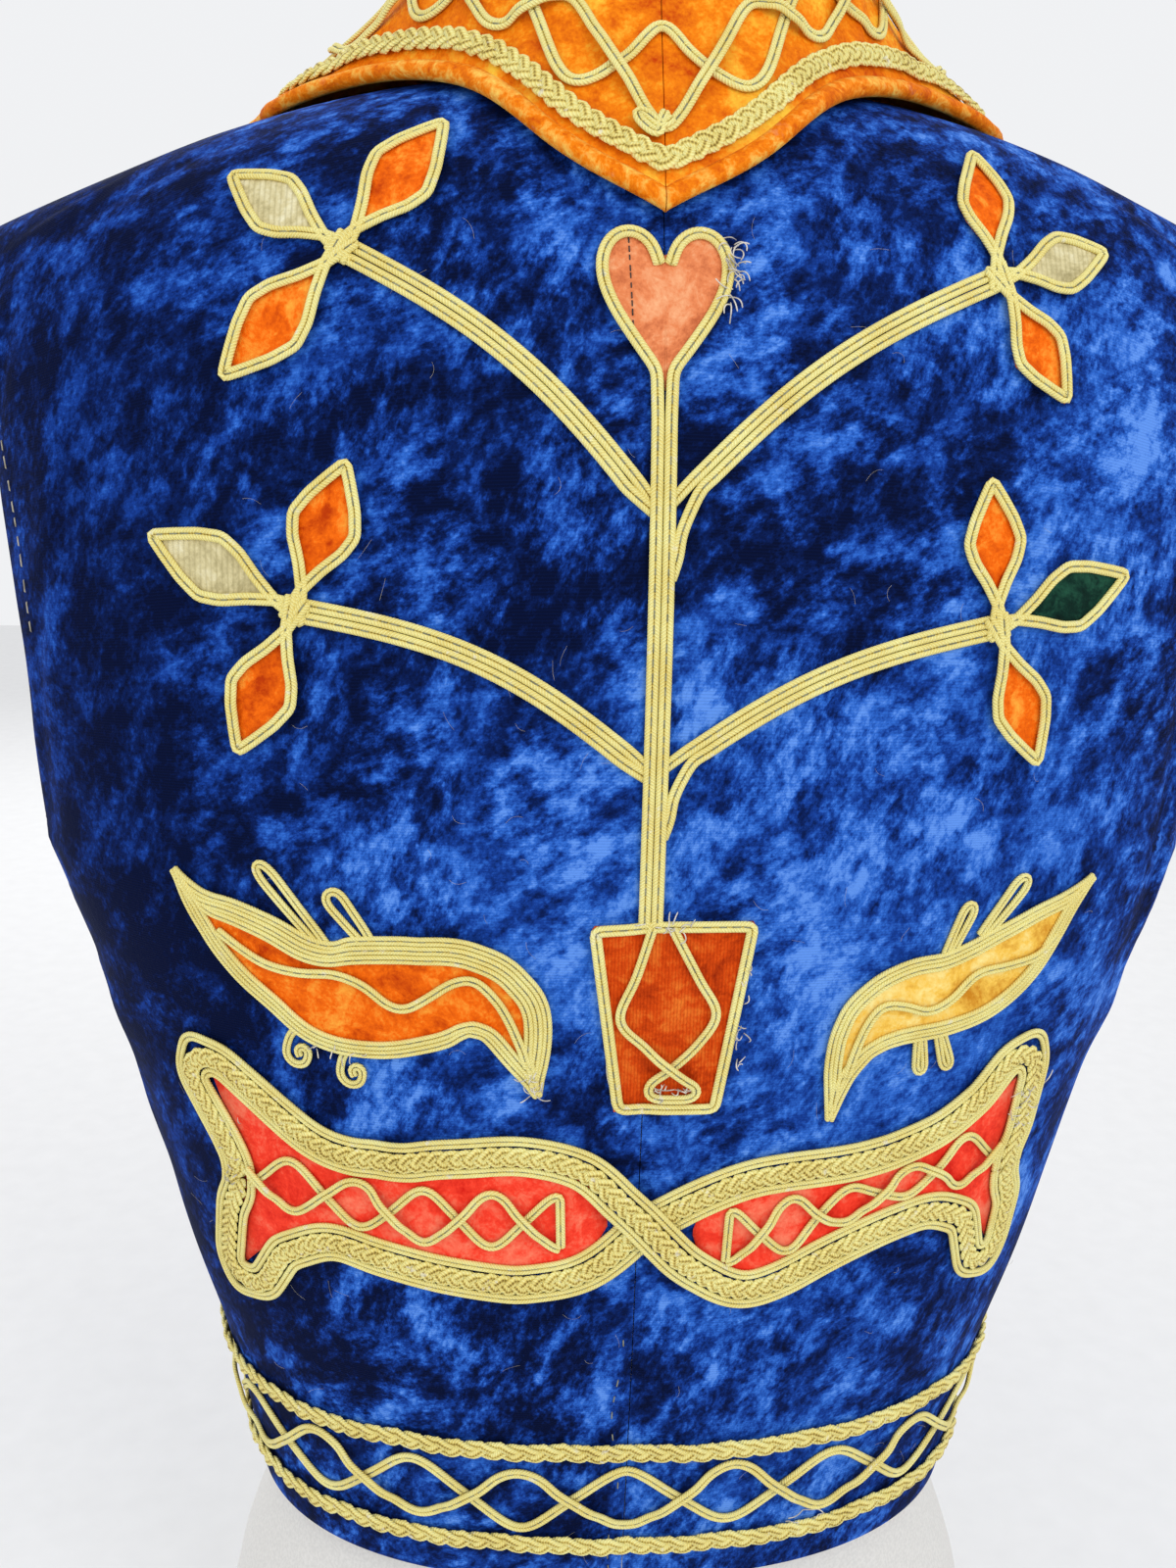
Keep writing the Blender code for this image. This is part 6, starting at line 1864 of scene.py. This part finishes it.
# Each patch cloth: a painted shade tone, its own colour, a painted sheen tone, and its rib pitch.
Cloth = namedtuple("Cloth", "dark middle bright ribs")
CLOTHS = {
    "ivory_velvet": Cloth((160, 148, 104), (216, 204, 156), (244, 238, 204), 1.6),
    "orange_velvet": Cloth((186, 56, 0), (246, 108, 10), (255, 178, 66), 0),
    "green_velvet": Cloth((2, 16, 14), (8, 42, 34), (34, 84, 64), 0),
    "salmon_velvet": Cloth((176, 84, 48), (232, 136, 86), (250, 186, 138), 0),
    "pot_velvet": Cloth((146, 34, 0), (216, 74, 10), (244, 128, 44), 1),
    "yellow_velvet": Cloth((206, 134, 28), (248, 200, 84), (255, 238, 158), 0),
    "red_velvet": Cloth((214, 26, 16), (252, 66, 44), (255, 130, 100), 0),
}


def velvet_for(name):
    """The cloth of an applied patch."""
    cloth = CLOTHS[name]
    return pile(name, *(linear(*tone) for tone in cloth[:3]), ribs=cloth.ribs)


@made_once
def gold_cord(shader):
    """Ribbed metallic-yellow soutache: its map runs round the section and along it."""
    place = shader.place()
    around, along, _ = shader.parts(shader.marks())
    mirrored = abs(around - 0.5)
    wander = shader.noise(place, 260.0, 2.0)
    rib = (along * (FULL_TURN / 0.95) + mirrored * 26.0 + wander * 2.2).sine()
    # Painted shade in the groove between the cord's two cores.
    groove = shader.step(mirrored, 0.075, 0.0)
    # Painted shade on the cord's underside, down to where it meets the cloth.
    foot = shader.step(mirrored, 0.30, 0.48)
    tone = shader.noise(place, 70.0, 3.0, 0.6)
    # The ribs' crests painted lighter and the hollows darker, with the groove and the foot in painted
    # shade.
    light = rib * 0.11 + (tone - 0.5) * 0.6 + 0.66 - groove * 0.50 - foot * 0.52
    colour = shader.ramp(light, *zip((0.05, 0.45, 0.85), tones("cord_dark", "cord", "cord_light")))
    bare = shader.noise(place, 230.0, 2.0, 0.7)
    colour = shader.blend(shader.step(bare, 0.64, 0.74) * 0.6, colour, linear(246, 242, 222))
    normal = shader.bump(rib * 0.5 - groove * 0.6 + bare * 0.4, 0.7, 0.0004)
    return shader.finish(colour, 0.5, normal, sheen=0.08, tint=linear(255, 240, 180),
                         specular=0.22)


THREADS = {
    "cord_thread": (150, 150, 124),
    "white_thread": (232, 226, 214),
    "pale_thread": (196, 188, 166),
    "seam_thread": (62, 56, 54),
}


def shaded(colour, share):
    return tuple(part * share for part in colour)


@made_once
def sewing_thread(shader):
    """Thread in the colour of its name."""
    tone = shader.noise(shader.place(), 300.0, 2.0)
    colour = linear(*THREADS[shader.name])
    mixed = shader.blend(shader.step(tone, 0.35, 0.65), shaded(colour, 0.55), colour)
    return shader.finish(mixed, 0.7)


@made_once
def peach_lining(shader):
    """Satin, with fine lines along the cloth."""
    peach, = tones("lining")
    across = shader.parts(shader.marks())[0]
    broad = shader.noise(shader.place(), 24.0, 3.0, 0.6)
    line = (across * 5.0).sine()
    colour = shader.blend(shader.step(broad, 0.3, 0.7), shaded(peach, 0.55), peach)
    return shader.finish(colour, 0.42, shader.bump(line, 0.2, 0.0002), specular=0.4)


@made_once
def form_cover(shader):
    """Pale knitted cover of the dress form."""
    pale, = tones("form")
    fine = shader.noise(shader.place(), 900.0, 2.0)
    colour = shader.blend(shader.step(fine, 0.3, 0.7), shaded(pale, 0.9), pale)
    return shader.finish(colour, 0.8, shader.bump(fine, 0.25, 0.0003), specular=0.3)


@made_once
def plain_floor(shader):
    fine = shader.noise(shader.place(), 60.0, 2.0)
    colour = shader.blend(fine, (0.80, 0.80, 0.80), (0.86, 0.86, 0.86))
    return shader.finish(colour, 0.85, specular=0.2)


# -------------------------------------------------------------------- stage
CAMERA_PLACE = (45.1, 528.7, 533.9)
CAMERA_TURNS = (14.4, 3.9, 1.3)       # down, round, and roll, in degrees
CAMERA_LENS = 34.13
Lamp = namedtuple("Lamp", "name place target size power")
LAMPS = each(
    Lamp, ("key_light", (-900, 1500, 1500), (0, 80, 360), 0.9, 8),
    ("fill_light", (1200, 1200, 900), (0, 80, 340), 1.4, 3),
    ("front_light", (300, -1500, 1300), (0, 0, 340), 1.4, 8),
)


def make_stage():
    """A pale floor, soft light and the camera."""
    form = bmesh.new()
    form.loops.layers.uv.new("cloth")
    bmesh.ops.create_grid(form, x_segments=1, y_segments=1, size=3.0, calc_uvs=True)
    mesh = bpy.data.meshes.new("floor")
    form.to_mesh(mesh)
    form.free()
    mesh.materials.append(plain_floor())
    staged = [new_object("floor", mesh)]
    for lamp in LAMPS:
        data = bpy.data.lights.new(lamp.name, "AREA")
        data.size = lamp.size
        data.energy = lamp.power
        light = new_object(lamp.name, data)
        way = Vector(lamp.place) - Vector(lamp.target)
        light.rotation_euler = way.to_track_quat("Z", "Y").to_euler()
        light.location = Vector(lamp.place) * MM
        staged.append(light)
    world = bpy.data.worlds.new("studio")
    world.use_nodes = True
    world.node_tree.nodes["Background"].inputs[0].default_value = (0.97, 0.98, 1.0, 1.0)
    world.node_tree.nodes["Background"].inputs[1].default_value = 0.9
    bpy.context.scene.world = world
    bpy.context.scene.view_settings.view_transform = "Standard"
    staged.append(make_camera())


def make_camera():
    down, turn, roll = (math.radians(angle) for angle in CAMERA_TURNS)
    ahead = Vector((-math.sin(turn) * math.cos(down), -math.cos(turn) * math.cos(down),
                    -math.sin(down)))
    right = ahead.cross(Vector((0, 0, 1))).normalized()
    up = right.cross(ahead)
    across = math.cos(roll) * right + math.sin(roll) * up
    upward = -math.sin(roll) * right + math.cos(roll) * up
    matrix = Matrix((across, upward, -ahead)).transposed().to_4x4()
    matrix.translation = Vector(CAMERA_PLACE) * MM
    data = bpy.data.cameras.new("camera")
    data.sensor_width = 36.0
    data.lens = CAMERA_LENS
    data.clip_start = 0.01
    data.dof.use_dof = False
    camera = new_object("camera", data)
    camera.matrix_world = matrix
    bpy.context.scene.camera = camera
    return camera


# ----------------------------------------------------------------- settings
def length_setting(name, default, description):
    return FloatProperty(name=name, description=description, default=default, min=0.0,
                         unit="LENGTH", precision=4)


def colour_setting(name, default, description):
    return FloatVectorProperty(name=name, description=description, default=linear(*default),
                               min=0.0, max=1.0, size=3, subtype="COLOR")


class VestSizes(bpy.types.PropertyGroup):
    """Sizes of the vest's cloth and cords, in metres."""

    velvet_thickness: length_setting("Velvet", 0.0016, "Thickness of the velvet")
    cord_width: length_setting("Cord", 0.0036, "Width of one soutache cord")
    fine_cord_width: length_setting("Fine cord", 0.0030, "Width of the finer soutache")
    cord_height: length_setting("Cord height", 0.0017, "Height of a soutache cord")
    plait_width: length_setting("Plait", 0.0076, "Width of the plaited cords")
    stitch_pitch: length_setting("Stitch pitch", 0.0042, "Distance from stitch to stitch")
    stitch_length: length_setting("Stitch", 0.0028, "Length of one stitch")


class VestColours(bpy.types.PropertyGroup):
    """Colours of the vest's cloths and cords."""

    # The velvet's deepest, shaded, lit and glinting tones are painted shade and painted light on its
    # own blue.
    velvet_dark: colour_setting("Velvet, deepest", (5, 14, 46), "Blue velvet, pile away")
    velvet_shade: colour_setting("Velvet, shaded", (9, 31, 88), "Blue velvet, in shade")
    velvet: colour_setting("Velvet", (22, 62, 150), "Blue velvet")
    velvet_light: colour_setting("Velvet, lit", (48, 106, 206), "Blue velvet, pile lit")
    velvet_glint: colour_setting("Velvet, glinting", (96, 148, 236), "Blue velvet, brightest")
    orange_dark: colour_setting("Orange, deep", (196, 62, 0), "Collar velvet, in shade")
    orange: colour_setting("Orange", (246, 132, 12), "Collar velvet")
    orange_light: colour_setting("Orange, lit", (255, 206, 66), "Collar velvet, pile lit")
    orange_glint: colour_setting("Orange, glinting", (255, 216, 104), "Collar binding, brightest")
    cord_dark: colour_setting("Cord, shaded", (140, 112, 38), "Gold cord between its ribs")
    cord: colour_setting("Cord", (238, 214, 116), "Gold cord")
    cord_light: colour_setting("Cord, lit", (255, 250, 172), "Gold cord's ribs")
    lining: colour_setting("Lining", (226, 172, 124), "Peach satin lining")
    form: colour_setting("Form", (228, 226, 222), "Cover of the dress form")


class VEST_OT_stage(bpy.types.Operator):
    """Lays the floor and sets the light and the camera"""

    bl_idname = "vest.stage"
    bl_label = "Stage"

    def execute(self, context):
        make_stage()
        return {"FINISHED"}


class VEST_OT_form(bpy.types.Operator):
    """Builds the dress form"""

    bl_idname = "vest.form"
    bl_label = "Dress form"

    def execute(self, context):
        make_form()
        return {"FINISHED"}


class VEST_OT_panels(bpy.types.Operator):
    """Builds the two backs and the two fronts with their linings"""

    bl_idname = "vest.panels"
    bl_label = "Velvet panels"

    def execute(self, context):
        made, linings = [], []
        for side, name in SIDES:
            made.append(make_panel("back_" + name, back_net(side, "back_" + name), side, True))
            made.append(make_panel("front_" + name, front_net(side), side, False))
            linings.append(make_lining(side, name))
        return {"FINISHED"}


class VEST_OT_collar(bpy.types.Operator):
    """Builds the shawl collar and its bound edge"""

    bl_idname = "vest.collar"
    bl_label = "Collar"

    def execute(self, context):
        for side, name in SIDES:
            fall = make_collar_half(side, name)
            make_binding(side, name)
        return {"FINISHED"}


class VEST_OT_collar_cords(bpy.types.Operator):
    """Sews the plait and the interlaced zigzag on the collar"""

    bl_idname = "vest.collar_cords"
    bl_label = "Collar cords"

    def execute(self, context):
        make_collar_cords()
        return {"FINISHED"}


class VEST_OT_hem_band(bpy.types.Operator):
    """Sews the two plaits and the interlaced zigzag round the hem"""

    bl_idname = "vest.hem_band"
    bl_label = "Hem band"

    def execute(self, context):
        make_hem_cords()
        return {"FINISHED"}


class VEST_OT_tree(bpy.types.Operator):
    """Sews the stem, its branches, leaves and heart, and the pot"""

    bl_idname = "vest.tree"
    bl_label = "Tree of life"

    def execute(self, context):
        make_tree()
        make_heart()
        make_pot()
        return {"FINISHED"}


class VEST_OT_birds(bpy.types.Operator):
    """Sews the two birds"""

    bl_idname = "vest.birds"
    bl_label = "Birds"

    def execute(self, context):
        for bird in BIRDS:
            make_bird(bird)
        return {"FINISHED"}


class VEST_OT_fish(bpy.types.Operator):
    """Sews the crossed fish"""

    bl_idname = "vest.fish"
    bl_label = "Crossed fish"

    def execute(self, context):
        make_fish()
        return {"FINISHED"}


class VEST_OT_sewing(bpy.types.Operator):
    """Adds the visible stitches and the loose threads"""

    bl_idname = "vest.sewing"
    bl_label = "Sewing"

    def execute(self, context):
        make_sewing()
        make_loose_threads()
        return {"FINISHED"}


OPERATORS = (
    VEST_OT_stage, VEST_OT_form, VEST_OT_panels, VEST_OT_collar, VEST_OT_collar_cords,
    VEST_OT_hem_band, VEST_OT_tree, VEST_OT_birds, VEST_OT_fish, VEST_OT_sewing,
)


class VEST_PT_panel(bpy.types.Panel):
    """Lists the vest's steps and settings"""

    bl_idname = "VEST_PT_panel"
    bl_label = "Embroidered Folk Vest"
    bl_space_type = "VIEW_3D"
    bl_region_type = "UI"
    bl_category = "Vest"

    def draw(self, context):
        for operator in OPERATORS:
            self.layout.operator(operator.bl_idname)
        for group in (context.scene.vest_sizes, context.scene.vest_colours):
            for name in group.__annotations__:
                self.layout.prop(group, name)


CLASSES = (VestSizes, VestColours, *OPERATORS, VEST_PT_panel)


def register():
    for kind in CLASSES:
        bpy.utils.register_class(kind)
    bpy.types.Scene.vest_sizes = PointerProperty(type=VestSizes)
    bpy.types.Scene.vest_colours = PointerProperty(type=VestColours)


def unregister():
    del bpy.types.Scene.vest_colours
    del bpy.types.Scene.vest_sizes
    for kind in reversed(CLASSES):
        bpy.utils.unregister_class(kind)


def main():
    register()
    bpy.ops.vest.stage()
    bpy.ops.vest.form()
    bpy.ops.vest.panels()
    bpy.ops.vest.collar()
    bpy.ops.vest.collar_cords()
    bpy.ops.vest.hem_band()
    bpy.ops.vest.tree()
    bpy.ops.vest.birds()
    bpy.ops.vest.fish()
    bpy.ops.vest.sewing()


if __name__ == "__main__":
    main()
